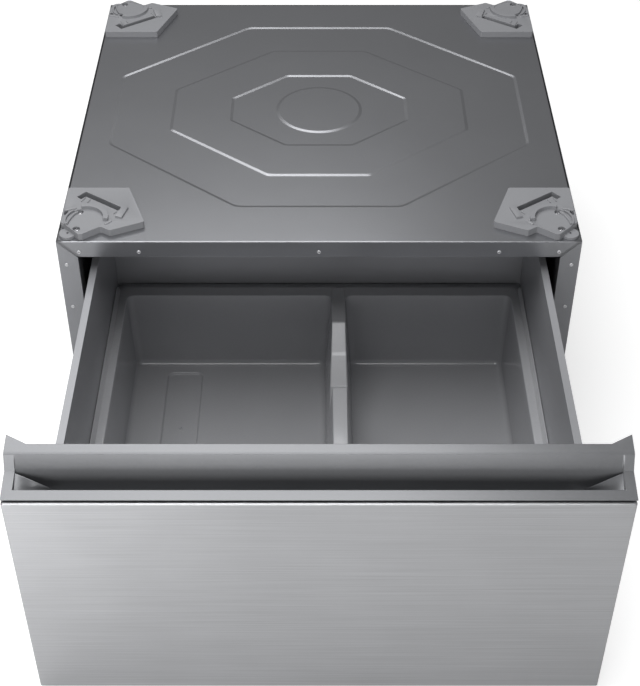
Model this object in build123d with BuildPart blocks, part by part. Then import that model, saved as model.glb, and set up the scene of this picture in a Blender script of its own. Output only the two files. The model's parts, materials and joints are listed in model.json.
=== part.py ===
"""Laundry pedestal with a storage drawer, shown with its drawer pulled open.

Frame: the origin is on the floor under the middle of the open object, +Z is up, the back is at +Y
and the drawer comes out towards -Y. Lengths are in millimetres and angles in degrees.
"""

import os
from math import cos, radians, sin, tan

from build123d import *

os.makedirs("parts", exist_ok=True)

# Cabinet
cabinet_width = 686.0
cabinet_depth = 644.0
cabinet_height = 361.0  # floor to the top panel
base_height = 18.0  # floor to the underside of the cabinet
sheet = 1.2  # painted steel sheet
flange_width = 26.0  # turned-in front edge of the top and the sides
jamb_depth = 25.0  # return of that edge into the cabinet
hem = 14.0  # turned edge at the back, at the underside and below the top panel
seam = 0.4  # open line between two folded edges
fit = 0.3  # clearance between pieces that nest
back_inset = 3.0  # back panel, in from the rear edges of the sides
post_sheet = 1.6
post_depth = 40.0
base_rail_depth = 60.0
base_rail_height = 20.0
base_rail_sheet = 2.0

# Pressed pattern of the top panel: half length, half width and half straight edge each way
press_depth = 1.8
press_taper = 68.0
outer_octagon = (298.0, 244.0, 112.0, 93.0)
second_octagon = (214.0, 170.0, 71.0, 55.0)
third_octagon = (128.0, 95.0, 48.0, 30.0)
centre_radius = 61.0

# Front edge rivets
rivet_head_radius = 2.6
rivet_head_height = 1.2
rivet_radius = 1.6
rivet_length = 6.0
rivet_play = 0.1
head_round = 0.6  # rounding of a screw or rivet head, as a share of its height
top_rivet_drop = 16.8  # below the top panel
top_rivet_insets = (28.5, 107.0)  # in from the side of the cabinet, besides the one in the middle
side_rivet_inset = 10.0  # in from the side of the cabinet
side_rivet_drop = 38.0  # first one below the top panel
side_rivet_rise = 19.0  # last one above the underside of the cabinet
side_rivet_count = 5

# Back panel screws
back_screw_radius = 2.0
back_screw_head_radius = 4.0
back_screw_head_height = 2.0
back_screw_length = 7.0
back_screw_margin = 13.0  # first and last one from the ends of the corner posts
back_screw_count = 4
back_press_margin = 60.0
back_press_depth = 4.0

# Corner holders for the feet of the machine on top
holder_inset = 3.5
holder_thickness = 10.0
holder_depth = 108.0  # cabinet edge to the straight side
holder_back_width = 86.0  # cabinet side to the end of the straight side
holder_reach = 113.5  # cabinet side to the farthest corner
holder_reach_setback = 31.0
holder_notch_width = 70.0
holder_notch_setback = 11.5
holder_notch_gap = 2.3  # from the cup to the notch
holder_notch_angle = -33.0
holder_corner_round = 3.0
cup_setback = 34.5  # cup centre from both cabinet edges
cup_radius = 24.5
cup_depth = 0.8
thick_ring = (6.5, -5.0, 110.0, 4.5)  # width, first angle, arc and rise of the raised wall
thin_ring = (2.5, 130.0, 75.0, 2.2)
holder_corner_cut = 29.5  # slanted corner of the plate behind the tab
holder_pocket = ((5.5, 46.5), (5.5, 53.5), (10.0, 55.0), (11.0, 50.5), (8.3, 45.0))  # setbacks
holder_pocket_depth = 5.0
holder_tab_radius = 11.0
holder_tab_setback = 14.0
holder_tab_thickness = 4.0
holder_tab_hole_radius = 1.6
slot_corner_setback = 28.5  # from the cabinet side
slot_corner_margin = 9.5  # from the straight side of the holder
slot_width = 8.5
slot_length = 64.0
slot_angle = -34.7
slot_hook_length = 16.0
slot_hook_angle = 227.5
wedge_length = 24.0
wedge_width = 9.0
wedge_angle = 254.0
wedge_rise = 3.0
holder_screw_circle = 20.5
holder_screw_angles = (115.0, 245.0)
holder_screw_radius = 2.0
holder_screw_head_radius = 3.6
holder_screw_head_height = 2.2
holder_screw_seat_radius = 5.0
holder_screw_sink = 2.0  # from the cup's floor down to the head
holder_screw_length = 12.0

# Drawer slides
rail_length = 500.0
rail_setback = 6.0  # front end of the closed slide, behind the cabinet front
rail_height = 45.0
rail_sheet = 1.2
cage_sheet = 0.8
cage_length = 240.0
cage_setback = 130.0  # front end of the closed cage, behind the front end of the rail
ball_diameter = 4.0
ball_pitch = 30.0
ball_play = 0.1
rail_play = 0.4
rail_lip = 1.2
slide_height = 120.0  # floor to the middle of the slide
support_height = 60.0
support_foot = 12.0
support_overhang = 20.0
rail_screw_radius = 2.0
rail_screw_head_radius = 3.2
rail_screw_length = 5.0
rail_screw_count = 3
rail_screw_margin = 45.0

# Drawer
drawer_opening = 369.0  # how far it stands open
front_thickness = 71.0
drawer_box_depth = 522.0  # behind the drawer front
drawer_sheet = 1.0
drawer_wall = 9.2  # doubled side wall, outside to inside
drawer_top_height = 310.0  # floor to the top of the sides
drawer_bottom_height = 70.0  # floor to the lower edge of the sides
drawer_hem = 8.0
drawer_ledge = 12.0
drawer_tab_width = 20.0
drawer_tab_height = 90.0
drawer_tab_rise = 14.0  # above the bin flange
drawer_back_return = 30.0

# Storage bin
bin_drop = 132.0  # top of the sides to the bin flange
bin_under_gap = 7.8  # underside of the bin over the base rails
bin_wall = 3.0
bin_draft = 2.0
bin_side_flange = 17.0
bin_back_flange = 22.6
bin_front_flange = 20.0
bin_side_gap = 0.5
bin_back_gap = 9.0
bin_front_gap = 4.0
bin_corner = 10.0
bin_floor_round = 8.5
bin_upstand = 5.0
bin_upstand_width = 6.6
divider_offset = 28.0  # to the right of the middle
divider_width = 20.0
divider_draft = 4.2
divider_shelf = 59.0
dip_length = 55.0
dip_fall = 8.0
dip_steep_length = 81.0
dip_steep_fall = 32.0
tray_width = 54.0
tray_inset = 47.0  # from the left end of the bin floor
tray_setback = 20.0
tray_depth = 1.4
tray_corner = 10.0
floor_pip_radius = 2.0
floor_pip_rise = 1.2
floor_pip_setback = 116.0

# Drawer front
panel_bottom = 9.0
panel_top = 344.0
skin_sheet = 0.8
skin_return = 40.0
skin_top_return = 11.0
skin_round = 2.0
inner_sheet = 1.0
inner_gap = 3.0  # inner panel ahead of the back of the handle trim
inner_return = 44.0
inner_top_drop = 4.0
trim_set_back = 2.0
trim_edge = 1.7
rim_slope = 12.0
rim_depth = 13.0
rim_end = 11.5
trough_width = 22.5
trough_depth = 34.0
trough_wall = 3.0
trough_floor_round = 8.0
facet_length = 46.0
facet_fall = 10.0
lip_height = 18.5
lip_lean = 8.5
lip_depth = 13.0
ear_width = 23.5
lip_round = 1.5
bumper_radius = 6.0
bumper_drops = (44.0, 284.0)  # below the top edge of the front panel
bumper_inset = 13.0
closing_gap = 1.0
front_screw_radius = 2.0
front_screw_head_radius = 4.0
front_screw_head_height = 2.2
front_screw_length = 8.0
front_screw_count = 3

# Levelling legs
leg_inset = 45.0
pad_radius = 22.0
pad_height = 9.0
pad_round = 2.0
stud_radius = 5.0
stud_length = 52.0
stud_seat = 4.2  # floor to the lower end of the stud
stud_play = 0.1
collar_radius = 8.5
collar_height = 3.2
nut_radius = 8.5
lock_nut_height = 5.0
weld_nut_height = 8.0

# Planes and edges that follow from the sizes above
overall_length = cabinet_depth + drawer_opening + front_thickness
back_y = overall_length / 2
cabinet_front_y = back_y - cabinet_depth
drawer_y = cabinet_front_y - drawer_opening
face_y = drawer_y - front_thickness
half_width = cabinet_width / 2
bay_half = half_width - flange_width
deck_z = base_height + sheet
post_top_z = cabinet_height - hem - seam
back_panel_y = back_y - back_inset - sheet

# Slide section, counted from the cabinet side of the slide towards the drawer
cage_outer_p = rail_sheet + rail_play
middle_p = cage_outer_p + cage_sheet + rail_play
cage_inner_p = middle_p + rail_sheet + rail_play
drawer_flange_p = cage_inner_p + cage_sheet + rail_play
ball_outer_p = middle_p + rail_play + ball_diameter / 2
ball_inner_p = drawer_flange_p + rail_play + ball_diameter / 2
cabinet_lip_p = ball_outer_p + ball_diameter / 2 + rail_play
middle_lip_p = ball_inner_p + ball_diameter / 2 + rail_play
slide_gap = middle_lip_p + cage_sheet + rail_play + rail_sheet
ball_room = ball_diameter + 2 * ball_play
cabinet_rail_q = rail_height / 2
middle_rail_q = cabinet_rail_q - rail_sheet - ball_room
drawer_rail_q = middle_rail_q - rail_sheet - ball_room
ball_outer_q = middle_rail_q + ball_room / 2
ball_inner_q = drawer_rail_q + ball_room / 2

drawer_half = bay_half - slide_gap
drawer_inner_half = drawer_half - drawer_wall
drawer_back_y = drawer_y + drawer_box_depth
inner_panel_y = drawer_y - inner_gap
bin_top_z = drawer_top_height - bin_drop
bin_floor_z = deck_z + base_rail_height + bin_under_gap + bin_wall
bin_depth = bin_top_z - bin_floor_z
bin_half = drawer_inner_half - bin_side_gap
bin_back_y = drawer_back_y - drawer_wall - bin_back_gap
bin_front_y = inner_panel_y + bin_front_gap
bin_mouth_half = bin_half - bin_side_flange
bin_mouth_back = bin_back_y - bin_back_flange
bin_mouth_front = bin_front_y + bin_front_flange


def save(builder, name):
    """Label a finished piece and write it to its file."""
    builder.part.label = name
    export_step(builder.part, f"parts/{name}.step")


def front_view(y):
    """Plane at a given Y that faces the front, with X to the right and Z up."""
    return Plane(origin=(0, y, 0), x_dir=(1, 0, 0), z_dir=(0, -1, 0))


def side_view(x):
    """Plane at a given X that faces +X, with Y to the right and Z up."""
    return Plane(origin=(x, 0, 0), x_dir=(0, 1, 0), z_dir=(1, 0, 0))


def span(u0, u1, v0, v1, mode=Mode.ADD):
    """Rectangle from corner to corner in the plane of the open sketch."""
    with Locations(((u0 + u1) / 2, (v0 + v1) / 2)):
        Rectangle(abs(u1 - u0), abs(v1 - v0), mode=mode)


def block(x0, x1, y0, y1, z0, z1, mode=Mode.ADD):
    """Box from corner to corner in the open part."""
    with Locations(((x0 + x1) / 2, (y0 + y1) / 2, (z0 + z1) / 2)):
        Box(abs(x1 - x0), abs(y1 - y0), abs(z1 - z0), mode=mode)


def outline(points, mode=Mode.ADD):
    """Filled polygon through the points in the plane of the open sketch."""
    Polygon(*points, align=None, mode=mode)


def facing(points, direction):
    """Locations at the points whose own Z axis looks along the direction."""
    return [Plane(origin=point, z_dir=direction).location for point in points]


def drill(places, radius, depth):
    """Straight holes, reaching the same depth to both sides of each place."""
    with Locations(*places):
        Cylinder(radius, 2 * depth, mode=Mode.SUBTRACT)


def fasteners(name, places, head_radius, head_height, shank_radius, shank_length):
    """Group of round-headed screws or rivets whose heads look along their places' Z axes."""
    with BuildPart() as single:
        Cylinder(head_radius, head_height, align=(Align.CENTER, Align.CENTER, Align.MIN))
        fillet(single.edges().group_by(Axis.Z)[-1], head_height * head_round)
        Cylinder(shank_radius, shank_length, align=(Align.CENTER, Align.CENTER, Align.MAX))
    with BuildPart() as group:
        with Locations(*places):
            add(single.part)
    save(group, name)


# Places of the fasteners
top_rivet_z = cabinet_height - top_rivet_drop
top_rivet_xs = [0.0] + [side * (half_width - inset) for side in (-1, 1) for inset in top_rivet_insets]
top_rivet_points = [(x, cabinet_front_y, top_rivet_z) for x in top_rivet_xs]
side_rivet_low = base_height + side_rivet_rise
side_rivet_pitch = (cabinet_height - side_rivet_drop - side_rivet_low) / (side_rivet_count - 1)
side_rivet_zs = [side_rivet_low + side_rivet_pitch * i for i in range(side_rivet_count)]


def side_rivet_points(side):
    """Rivet places down one side of the cabinet front."""
    return [(side * (half_width - side_rivet_inset), cabinet_front_y, z) for z in side_rivet_zs]


back_screw_x = half_width - hem - back_screw_head_radius - fit
back_screw_rise = (post_top_z - deck_z - 2 * back_screw_margin) / (back_screw_count - 1)
back_screw_zs = [deck_z + back_screw_margin + back_screw_rise * i for i in range(back_screw_count)]


def back_screw_points(side):
    """Screw places down one side of the back panel."""
    return [(side * back_screw_x, back_panel_y + sheet, z) for z in back_screw_zs]


def holder_place(side, end):
    """Function from setbacks, counted from the two cabinet edges of a corner, to X and Y."""
    edge_y, inward = (cabinet_front_y, 1) if end == "front" else (back_y, -1)
    return lambda a, b: (side * (half_width - a), edge_y + inward * b)


def polar(centre, radius, angle):
    """Point at a radius and an angle from a centre, both given as setbacks."""
    return centre[0] + radius * cos(radians(angle)), centre[1] + radius * sin(radians(angle))


cup_centre = (cup_setback, cup_setback)
cup_floor_z = cabinet_height + holder_thickness - cup_depth
holder_corners = [
    (side, end, word)
    for end in ("front", "rear")
    for side, word in ((-1, "left"), (1, "right"))
]
holder_screw_setbacks = [polar(cup_centre, holder_screw_circle, angle) for angle in holder_screw_angles]
holder_screw_seat_depth = holder_screw_sink + holder_screw_head_height
holder_screw_seat_z = cup_floor_z - holder_screw_seat_depth
holder_screw_places = [
    Location((*holder_place(side, end)(a, b), holder_screw_seat_z))
    for side, end, word in holder_corners
    for a, b in holder_screw_setbacks
]


def octagon(sizes):
    """Corner points of a long octagon round the middle of the top panel."""
    half_x, half_y, edge_x, edge_y = sizes
    quarter = [(half_x, edge_y), (edge_x, half_y)]
    right = [(x, y) for x, y in quarter]
    left = [(-x, y) for x, y in reversed(quarter)]
    upper = right + left
    return upper + [(-x, -y) for x, y in upper]


# Top panel: the pressed face, made as a thick form and thinned by its own copy one sheet lower
top_middle_y = (cabinet_front_y + back_y) / 2
press_run = press_depth * tan(radians(press_taper))
form_depth = 4 * press_depth
press_floor = Plane(origin=(0, top_middle_y, cabinet_height - press_depth))
press_top = Plane(origin=(0, top_middle_y, cabinet_height))
with BuildPart() as top_form:
    block(-half_width, half_width, cabinet_front_y, back_y, cabinet_height - form_depth, cabinet_height)
    with BuildSketch(press_top):
        outline(octagon(outer_octagon))
    extrude(amount=-press_depth, taper=press_taper, mode=Mode.SUBTRACT)
    with BuildSketch(press_floor):
        outline(octagon(second_octagon))
        offset(amount=press_run, kind=Kind.INTERSECTION)
    extrude(amount=press_depth, taper=press_taper)
    with BuildSketch(press_top):
        outline(octagon(third_octagon))
    extrude(amount=-press_depth, taper=press_taper, mode=Mode.SUBTRACT)
    with BuildSketch(press_floor):
        Circle(centre_radius + press_run)
    extrude(amount=press_depth, taper=press_taper)

with BuildPart() as top_panel:
    add(top_form.part)
    add(top_form.part.moved(Location((0, 0, -sheet))), mode=Mode.SUBTRACT)
    with BuildSketch(front_view(cabinet_front_y)):
        outline([
            (-half_width + sheet, cabinet_height - sheet),
            (-bay_half, cabinet_height - flange_width),
            (bay_half, cabinet_height - flange_width),
            (half_width - sheet, cabinet_height - sheet),
        ])
    extrude(amount=-sheet)
    return_z = cabinet_height - flange_width
    block(-bay_half, bay_half, cabinet_front_y, cabinet_front_y + jamb_depth, return_z, return_z + sheet)
    hem_front = cabinet_front_y + jamb_depth + seam
    hem_x = half_width - sheet
    for side in (-1, 1):
        block(
            side * hem_x, side * (hem_x - sheet),
            hem_front, back_panel_y - post_sheet - seam,
            cabinet_height - hem, cabinet_height - sheet,
        )
    hem_end = half_width - hem - seam
    block(-hem_end, hem_end, back_y - sheet, back_y, cabinet_height - hem, cabinet_height - sheet)
    drill(facing(top_rivet_points, (0, -1, 0)), rivet_radius + rivet_play, 2 * sheet)
    drill(holder_screw_places, holder_screw_radius + rivet_play, holder_thickness)
save(top_panel, "top_panel")


def side_panel(side, name):
    """Side sheet of the cabinet with its folded front, rear and lower edges."""
    outer = side * half_width
    top = cabinet_height - sheet
    with BuildPart() as panel:
        block(outer, side * (half_width - sheet), cabinet_front_y, back_y, base_height, top)
        with BuildSketch(front_view(cabinet_front_y)):
            outline([
                (outer, base_height),
                (side * bay_half, base_height),
                (side * bay_half, cabinet_height - flange_width - seam),
                (side * (half_width - sheet + seam), top),
                (outer, top),
            ])
        extrude(amount=-sheet)
        block(
            side * bay_half, side * (bay_half + sheet),
            cabinet_front_y, cabinet_front_y + jamb_depth,
            base_height, cabinet_height - flange_width - seam,
        )
        block(outer, side * (half_width - hem), back_y - sheet, back_y, base_height, top)
        block(outer, side * (half_width - hem), cabinet_front_y, back_y, base_height, deck_z)
        drill(facing(side_rivet_points(side), (0, -1, 0)), rivet_radius + rivet_play, 2 * sheet)
    save(panel, name)


side_panel(-1, "left_side_panel")
side_panel(1, "right_side_panel")

# Back panel with one shallow pressed field
with BuildPart() as back_panel:
    panel_half = half_width - sheet
    block(-panel_half, panel_half, back_panel_y, back_panel_y + sheet, deck_z, cabinet_height - sheet)
    field_half = panel_half - back_press_margin
    field_low = deck_z + back_press_margin
    field_high = cabinet_height - back_press_margin
    field_y = back_panel_y - back_press_depth
    block(-field_half, field_half, field_y, back_panel_y + sheet, field_low, field_high)
    block(
        -field_half + sheet, field_half - sheet,
        field_y + sheet, back_panel_y + sheet,
        field_low + sheet, field_high - sheet,
        mode=Mode.SUBTRACT,
    )
    back_points = back_screw_points(-1) + back_screw_points(1)
    drill(facing(back_points, (0, 1, 0)), back_screw_radius + rivet_play, 2 * sheet)
save(back_panel, "back_panel")

# Stiffener behind the turned-down front edge of the top panel
with BuildPart() as front_top_stiffener:
    stiffener_y = cabinet_front_y + sheet
    stiffener_low = cabinet_height - flange_width + sheet
    block(-bay_half, bay_half, stiffener_y, stiffener_y + post_sheet, stiffener_low, cabinet_height - sheet)
    block(
        -bay_half, bay_half,
        stiffener_y, cabinet_front_y + jamb_depth,
        stiffener_low, stiffener_low + post_sheet,
    )
    drill(facing(top_rivet_points, (0, -1, 0)), rivet_radius + rivet_play, sheet + 2 * post_sheet)
save(front_top_stiffener, "front_top_stiffener")


def corner_post(side, name, plate_y, inward, holes, hole_radius):
    """Angle post in a corner of the cabinet, one leg on the side sheet and one on the end sheet."""
    outer = half_width - sheet
    inner_end = bay_half + sheet
    with BuildPart() as post:
        block(side * outer, side * inner_end, plate_y, plate_y + inward * post_sheet, deck_z, post_top_z)
        block(
            side * outer, side * (outer - post_sheet),
            plate_y, plate_y + inward * post_depth,
            deck_z, post_top_z - hem,
        )
        drill(facing(holes, (0, 1, 0)), hole_radius, sheet + 2 * post_sheet)
    save(post, name)


for side, word in ((-1, "left"), (1, "right")):
    corner_post(
        side, f"front_{word}_post", cabinet_front_y + sheet, 1,
        side_rivet_points(side), rivet_radius + rivet_play,
    )
    corner_post(
        side, f"rear_{word}_post", back_panel_y, -1,
        back_screw_points(side), back_screw_radius + rivet_play,
    )

# Rivets and back screws
rivet_points = top_rivet_points + side_rivet_points(-1) + side_rivet_points(1)
fasteners(
    "front_rivets", facing(rivet_points, (0, -1, 0)),
    rivet_head_radius, rivet_head_height, rivet_radius, rivet_length,
)
fasteners(
    "back_panel_screws", facing(back_points, (0, 1, 0)),
    back_screw_head_radius, back_screw_head_height, back_screw_radius, back_screw_length,
)

# Base rails and levelling legs
front_rail_y = cabinet_front_y + sheet + post_depth + seam
rear_rail_y = back_panel_y - post_depth - seam - base_rail_depth
leg_x = half_width - leg_inset
leg_ys = {"front": front_rail_y + base_rail_depth / 2, "rear": rear_rail_y + base_rail_depth / 2}
leg_points = {
    f"{end}_{word}": (side * leg_x, leg_ys[end])
    for end in ("front", "rear")
    for side, word in ((-1, "left"), (1, "right"))
}
rail_floor_z = deck_z + base_rail_sheet


def base_rail(name, near_y):
    """Channel across the underside of the cabinet that carries two legs."""
    rail_half = half_width - sheet
    far_y = near_y + base_rail_depth
    with BuildPart() as rail:
        block(-rail_half, rail_half, near_y, far_y, deck_z, rail_floor_z)
        for edge_y, inward in ((near_y, 1), (far_y, -1)):
            block(
                -rail_half, rail_half,
                edge_y, edge_y + inward * base_rail_sheet,
                deck_z, deck_z + base_rail_height,
            )
        stud_places = [Location((side * leg_x, near_y + base_rail_depth / 2, deck_z)) for side in (-1, 1)]
        drill(stud_places, stud_radius + fit, 2 * base_rail_sheet)
    save(rail, name)


base_rail("base_front_rail", front_rail_y)
base_rail("base_rear_rail", rear_rail_y)


def nuts(name, low_z, height):
    """Group of hexagon nuts round the four studs."""
    with BuildPart() as group:
        with BuildSketch(Plane.XY.offset(low_z)):
            with Locations(*leg_points.values()):
                RegularPolygon(nut_radius, 6)
                Circle(stud_radius + stud_play, mode=Mode.SUBTRACT)
        extrude(amount=height)
    save(group, name)


nuts("leg_lock_nuts", deck_z - lock_nut_height, lock_nut_height)
nuts("leg_weld_nuts", rail_floor_z, weld_nut_height)


def levelling_leg(corner, point):
    """Pad on the floor and the stud that turns in it."""
    with BuildPart() as pad:
        with Locations((*point, 0)):
            Cylinder(pad_radius, pad_height, align=(Align.CENTER, Align.CENTER, Align.MIN))
        fillet(pad.faces().sort_by(Axis.Z)[-1].outer_wire().edges(), pad_round)
        with Locations((*point, stud_seat - stud_play)):
            Cylinder(
                stud_radius + stud_play, pad_height,
                align=(Align.CENTER, Align.CENTER, Align.MIN), mode=Mode.SUBTRACT,
            )
    save(pad, f"leg_pad_{corner}")
    with BuildPart() as stud:
        with Locations((*point, stud_seat)):
            Cylinder(stud_radius, stud_length, align=(Align.CENTER, Align.CENTER, Align.MIN))
        chamfer(stud.edges().group_by(Axis.Z)[-1], stud_radius / 5)
        with BuildSketch(Plane.XY.offset(pad_height + fit)):
            with Locations(point):
                RegularPolygon(collar_radius, 6)
        extrude(amount=collar_height)
    save(stud, f"leg_stud_{corner}")


for corner, point in leg_points.items():
    levelling_leg(corner, point)

# Corner holders for the feet of the machine on top
notch_point = polar(cup_centre, cup_radius + holder_notch_gap, holder_notch_angle)
holder_outline = [
    (holder_inset, holder_depth),
    (holder_back_width, holder_depth),
    (holder_reach, holder_reach_setback),
    (holder_notch_width, holder_notch_setback),
    notch_point,
    (cup_setback, holder_inset),
    (holder_corner_cut, holder_inset),
    (holder_inset, holder_corner_cut),
]
slot_corner = (slot_corner_setback, holder_depth - slot_corner_margin)
slot_tip = polar(slot_corner, slot_length, slot_angle)


def strip(start, angle, length, width):
    """Corners of a straight strip whose width lies to the right of a start and a direction."""
    far = polar(start, length, angle)
    return [start, far, polar(far, width, angle - 90.0), polar(start, width, angle - 90.0)]


slot_hook = polar(slot_corner, slot_hook_length, slot_hook_angle)
wedge_foot = polar(slot_tip, wedge_length, wedge_angle)
holder_slots = [
    strip(slot_corner, slot_angle, slot_length, slot_width),
    strip(slot_hook, slot_hook_angle - 180.0, slot_hook_length, slot_width),
]
holder_wedge = strip(wedge_foot, wedge_angle - 180.0, wedge_length, wedge_width)


def foot_holder(side, end, word):
    """Moulded corner holder with a cup for one machine foot, a clip slot and a drilled tab."""
    place = holder_place(side, end)
    top_z = cabinet_height + holder_thickness
    with BuildPart() as holder:
        with BuildSketch(Plane.XY.offset(cabinet_height)) as plate:
            outline([place(a, b) for a, b in holder_outline])
            fillet(plate.vertices(), holder_corner_round)
        extrude(amount=holder_thickness)
        with BuildSketch(Plane.XY.offset(cabinet_height)):
            with Locations(place(holder_tab_setback, holder_tab_setback)):
                Circle(holder_tab_radius)
        extrude(amount=holder_tab_thickness)
        for width, first, arc, rise in (thick_ring, thin_ring):
            with BuildSketch(Plane.XY.offset(top_z)):
                with Locations(place(*cup_centre)):
                    Circle(cup_radius + width)
                    Circle(cup_radius, mode=Mode.SUBTRACT)
                reach = 2 * (cup_radius + width)
                rays = [polar(cup_centre, reach, first + arc * i / 3) for i in range(4)]
                outline([place(a, b) for a, b in [cup_centre] + rays], mode=Mode.INTERSECT)
            extrude(amount=rise)
        with BuildSketch(Plane.XY.offset(cup_floor_z)):
            with Locations(place(*cup_centre)):
                Circle(cup_radius)
        extrude(amount=cup_depth, mode=Mode.SUBTRACT)
        for corners in holder_slots:
            with BuildSketch(Plane.XY.offset(cabinet_height)):
                outline([place(a, b) for a, b in corners])
            extrude(amount=holder_thickness, mode=Mode.SUBTRACT)
        with BuildSketch(Plane.XY.offset(top_z)):
            outline([place(a, b) for a, b in holder_pocket])
        extrude(amount=-holder_pocket_depth, mode=Mode.SUBTRACT)
        with BuildSketch(Plane.XY.offset(top_z)):
            outline([place(a, b) for a, b in holder_wedge])
        extrude(amount=wedge_rise)
        for a, b in holder_screw_setbacks:
            foot = Location((*place(a, b), cabinet_height))
            drill([foot], holder_screw_radius + rivet_play, holder_thickness)
            seat = Location((*place(a, b), cup_floor_z))
            drill([seat], holder_screw_seat_radius, holder_screw_seat_depth)
        tab_hole = Location((*place(holder_tab_setback, holder_tab_setback), cabinet_height))
        drill([tab_hole], holder_tab_hole_radius, holder_thickness)
    save(holder, f"foot_holder_{end}_{word}")


for side, end, word in holder_corners:
    foot_holder(side, end, word)
fasteners(
    "foot_holder_screws", holder_screw_places,
    holder_screw_head_radius, holder_screw_head_height, holder_screw_radius, holder_screw_length,
)

# Drawer slides: cabinet rail, middle rail and drawer rail on each side, with a ball cage in each gap
rail_front_y = cabinet_front_y + rail_setback
middle_front_y = rail_front_y - drawer_opening / 2
drawer_rail_y = rail_front_y - drawer_opening
outer_cage_y = rail_front_y + cage_setback - drawer_opening / 4
inner_cage_y = rail_front_y + cage_setback - drawer_opening * 3 / 4
rail_screw_pitch = (rail_length - 2 * rail_screw_margin) / (rail_screw_count - 1)
rail_screw_steps = [rail_screw_margin + rail_screw_pitch * i for i in range(rail_screw_count)]


def slide_x(side, p):
    """X of a point in the slide, counted from the cabinet towards the drawer."""
    return side * (bay_half - p)


def rail_screw_points(side, p, front_y):
    """Screw places along the web of a rail."""
    return [(slide_x(side, p), front_y + step, slide_height) for step in rail_screw_steps]


def slide_section(name, side, front_y, length, boxes, holes=()):
    """Slide member of one section along its length, its boxes given across the slide and up it."""
    with BuildPart() as member:
        with BuildSketch(front_view(front_y)):
            for p0, p1, q0, q1 in boxes:
                span(slide_x(side, p0), slide_x(side, p1), slide_height + q0, slide_height + q1)
        extrude(amount=-length)
        for places, radius, depth in holes:
            drill(places, radius, depth)
    save(member, name)


def channel(web, flange, lip, height):
    """Boxes of a channel: a web, two flanges and, where a lip is given, an inner lip on each flange."""
    low, high = flange
    boxes = [(*web, -height, height)]
    for sign in (-1, 1):
        boxes.append((low, high, sign * (height - rail_sheet), sign * height))
        if lip:
            boxes.append((*lip, sign * (height - rail_sheet - rail_lip), sign * (height - rail_sheet)))
    return boxes


cabinet_channel = channel(
    (0, rail_sheet), (0, cabinet_lip_p + cage_sheet),
    (cabinet_lip_p, cabinet_lip_p + cage_sheet), cabinet_rail_q,
)
middle_channel = channel(
    (middle_p, middle_p + rail_sheet), (middle_p, middle_lip_p + cage_sheet),
    (middle_lip_p, middle_lip_p + cage_sheet), middle_rail_q,
)
drawer_channel = channel(
    (slide_gap - rail_sheet, slide_gap), (drawer_flange_p, slide_gap),
    None, drawer_rail_q,
)


def ball_places(side, p, q, front_y):
    """Centres of the two rows of balls of a cage."""
    count = int(cage_length // ball_pitch)
    first = (cage_length - (count - 1) * ball_pitch) / 2
    return [
        Location((slide_x(side, p), front_y + first + ball_pitch * i, slide_height + sign * q))
        for sign in (-1, 1)
        for i in range(count)
    ]


def ball_cage(side, word, which, front_y, web_p, end_p, ball_p, ball_q):
    """Thin cage with its rows of holes, and the balls that it spaces."""
    places = ball_places(side, ball_p, ball_q, front_y)
    half = cage_sheet / 2
    boxes = [(web_p, web_p + cage_sheet, -ball_q - half, ball_q + half)]
    boxes += [(web_p, end_p, sign * ball_q - half, sign * ball_q + half) for sign in (-1, 1)]
    holes = [(places, ball_diameter / 2 + ball_play, ball_diameter)]
    slide_section(f"{word}_{which}_ball_cage", side, front_y, cage_length, boxes, holes)
    with BuildPart() as balls:
        with Locations(*places):
            Sphere(ball_diameter / 2)
    save(balls, f"{word}_{which}_balls")


def slide_support(side, word):
    """Hat channel welded to the side sheet that carries the cabinet rail."""
    front_y = cabinet_front_y + sheet + post_depth + seam
    length = rail_front_y + rail_length + support_overhang - front_y
    foot_p = flange_width - sheet
    half = support_height / 2
    boxes = [(-sheet, 0, -half, half)]
    for sign in (-1, 1):
        boxes.append((-foot_p, 0, sign * (half - sheet), sign * half))
        boxes.append((-foot_p, sheet - foot_p, sign * half, sign * (half + support_foot)))
    places = facing(rail_screw_points(side, 0, rail_front_y), (1, 0, 0))
    holes = [(places, rail_screw_radius + rivet_play, 2 * sheet)]
    slide_section(f"{word}_slide_support", side, front_y, length, boxes, holes)


for side, word in ((-1, "left"), (1, "right")):
    slide_support(side, word)
    cabinet_holes = [(
        facing(rail_screw_points(side, 0, rail_front_y), (1, 0, 0)),
        rail_screw_head_radius + rivet_play,
        2 * rail_sheet,
    )]
    slide_section(f"{word}_cabinet_rail", side, rail_front_y, rail_length, cabinet_channel, cabinet_holes)
    slide_section(f"{word}_middle_rail", side, middle_front_y, rail_length, middle_channel)
    drawer_holes = [(
        facing(rail_screw_points(side, slide_gap, drawer_rail_y), (1, 0, 0)),
        rail_screw_head_radius + rivet_play,
        2 * rail_sheet,
    )]
    slide_section(f"{word}_drawer_rail", side, drawer_rail_y, rail_length, drawer_channel, drawer_holes)
    ball_cage(
        side, word, "outer", outer_cage_y,
        cage_outer_p, cabinet_lip_p + cage_sheet, ball_outer_p, ball_outer_q,
    )
    ball_cage(
        side, word, "inner", inner_cage_y,
        cage_inner_p, middle_lip_p + cage_sheet, ball_inner_p, ball_inner_q,
    )

cabinet_screw_places = []
drawer_screw_places = []
for side in (-1, 1):
    cabinet_screw_places += facing(rail_screw_points(side, 0, rail_front_y), (-side, 0, 0))
    drawer_screw_places += facing(rail_screw_points(side, slide_gap, drawer_rail_y), (side, 0, 0))
fasteners(
    "cabinet_rail_screws", cabinet_screw_places,
    rail_screw_head_radius, rail_sheet, rail_screw_radius, rail_screw_length,
)
fasteners(
    "drawer_rail_screws", drawer_screw_places,
    rail_screw_head_radius, rail_sheet, rail_screw_radius, rail_screw_length,
)

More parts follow.
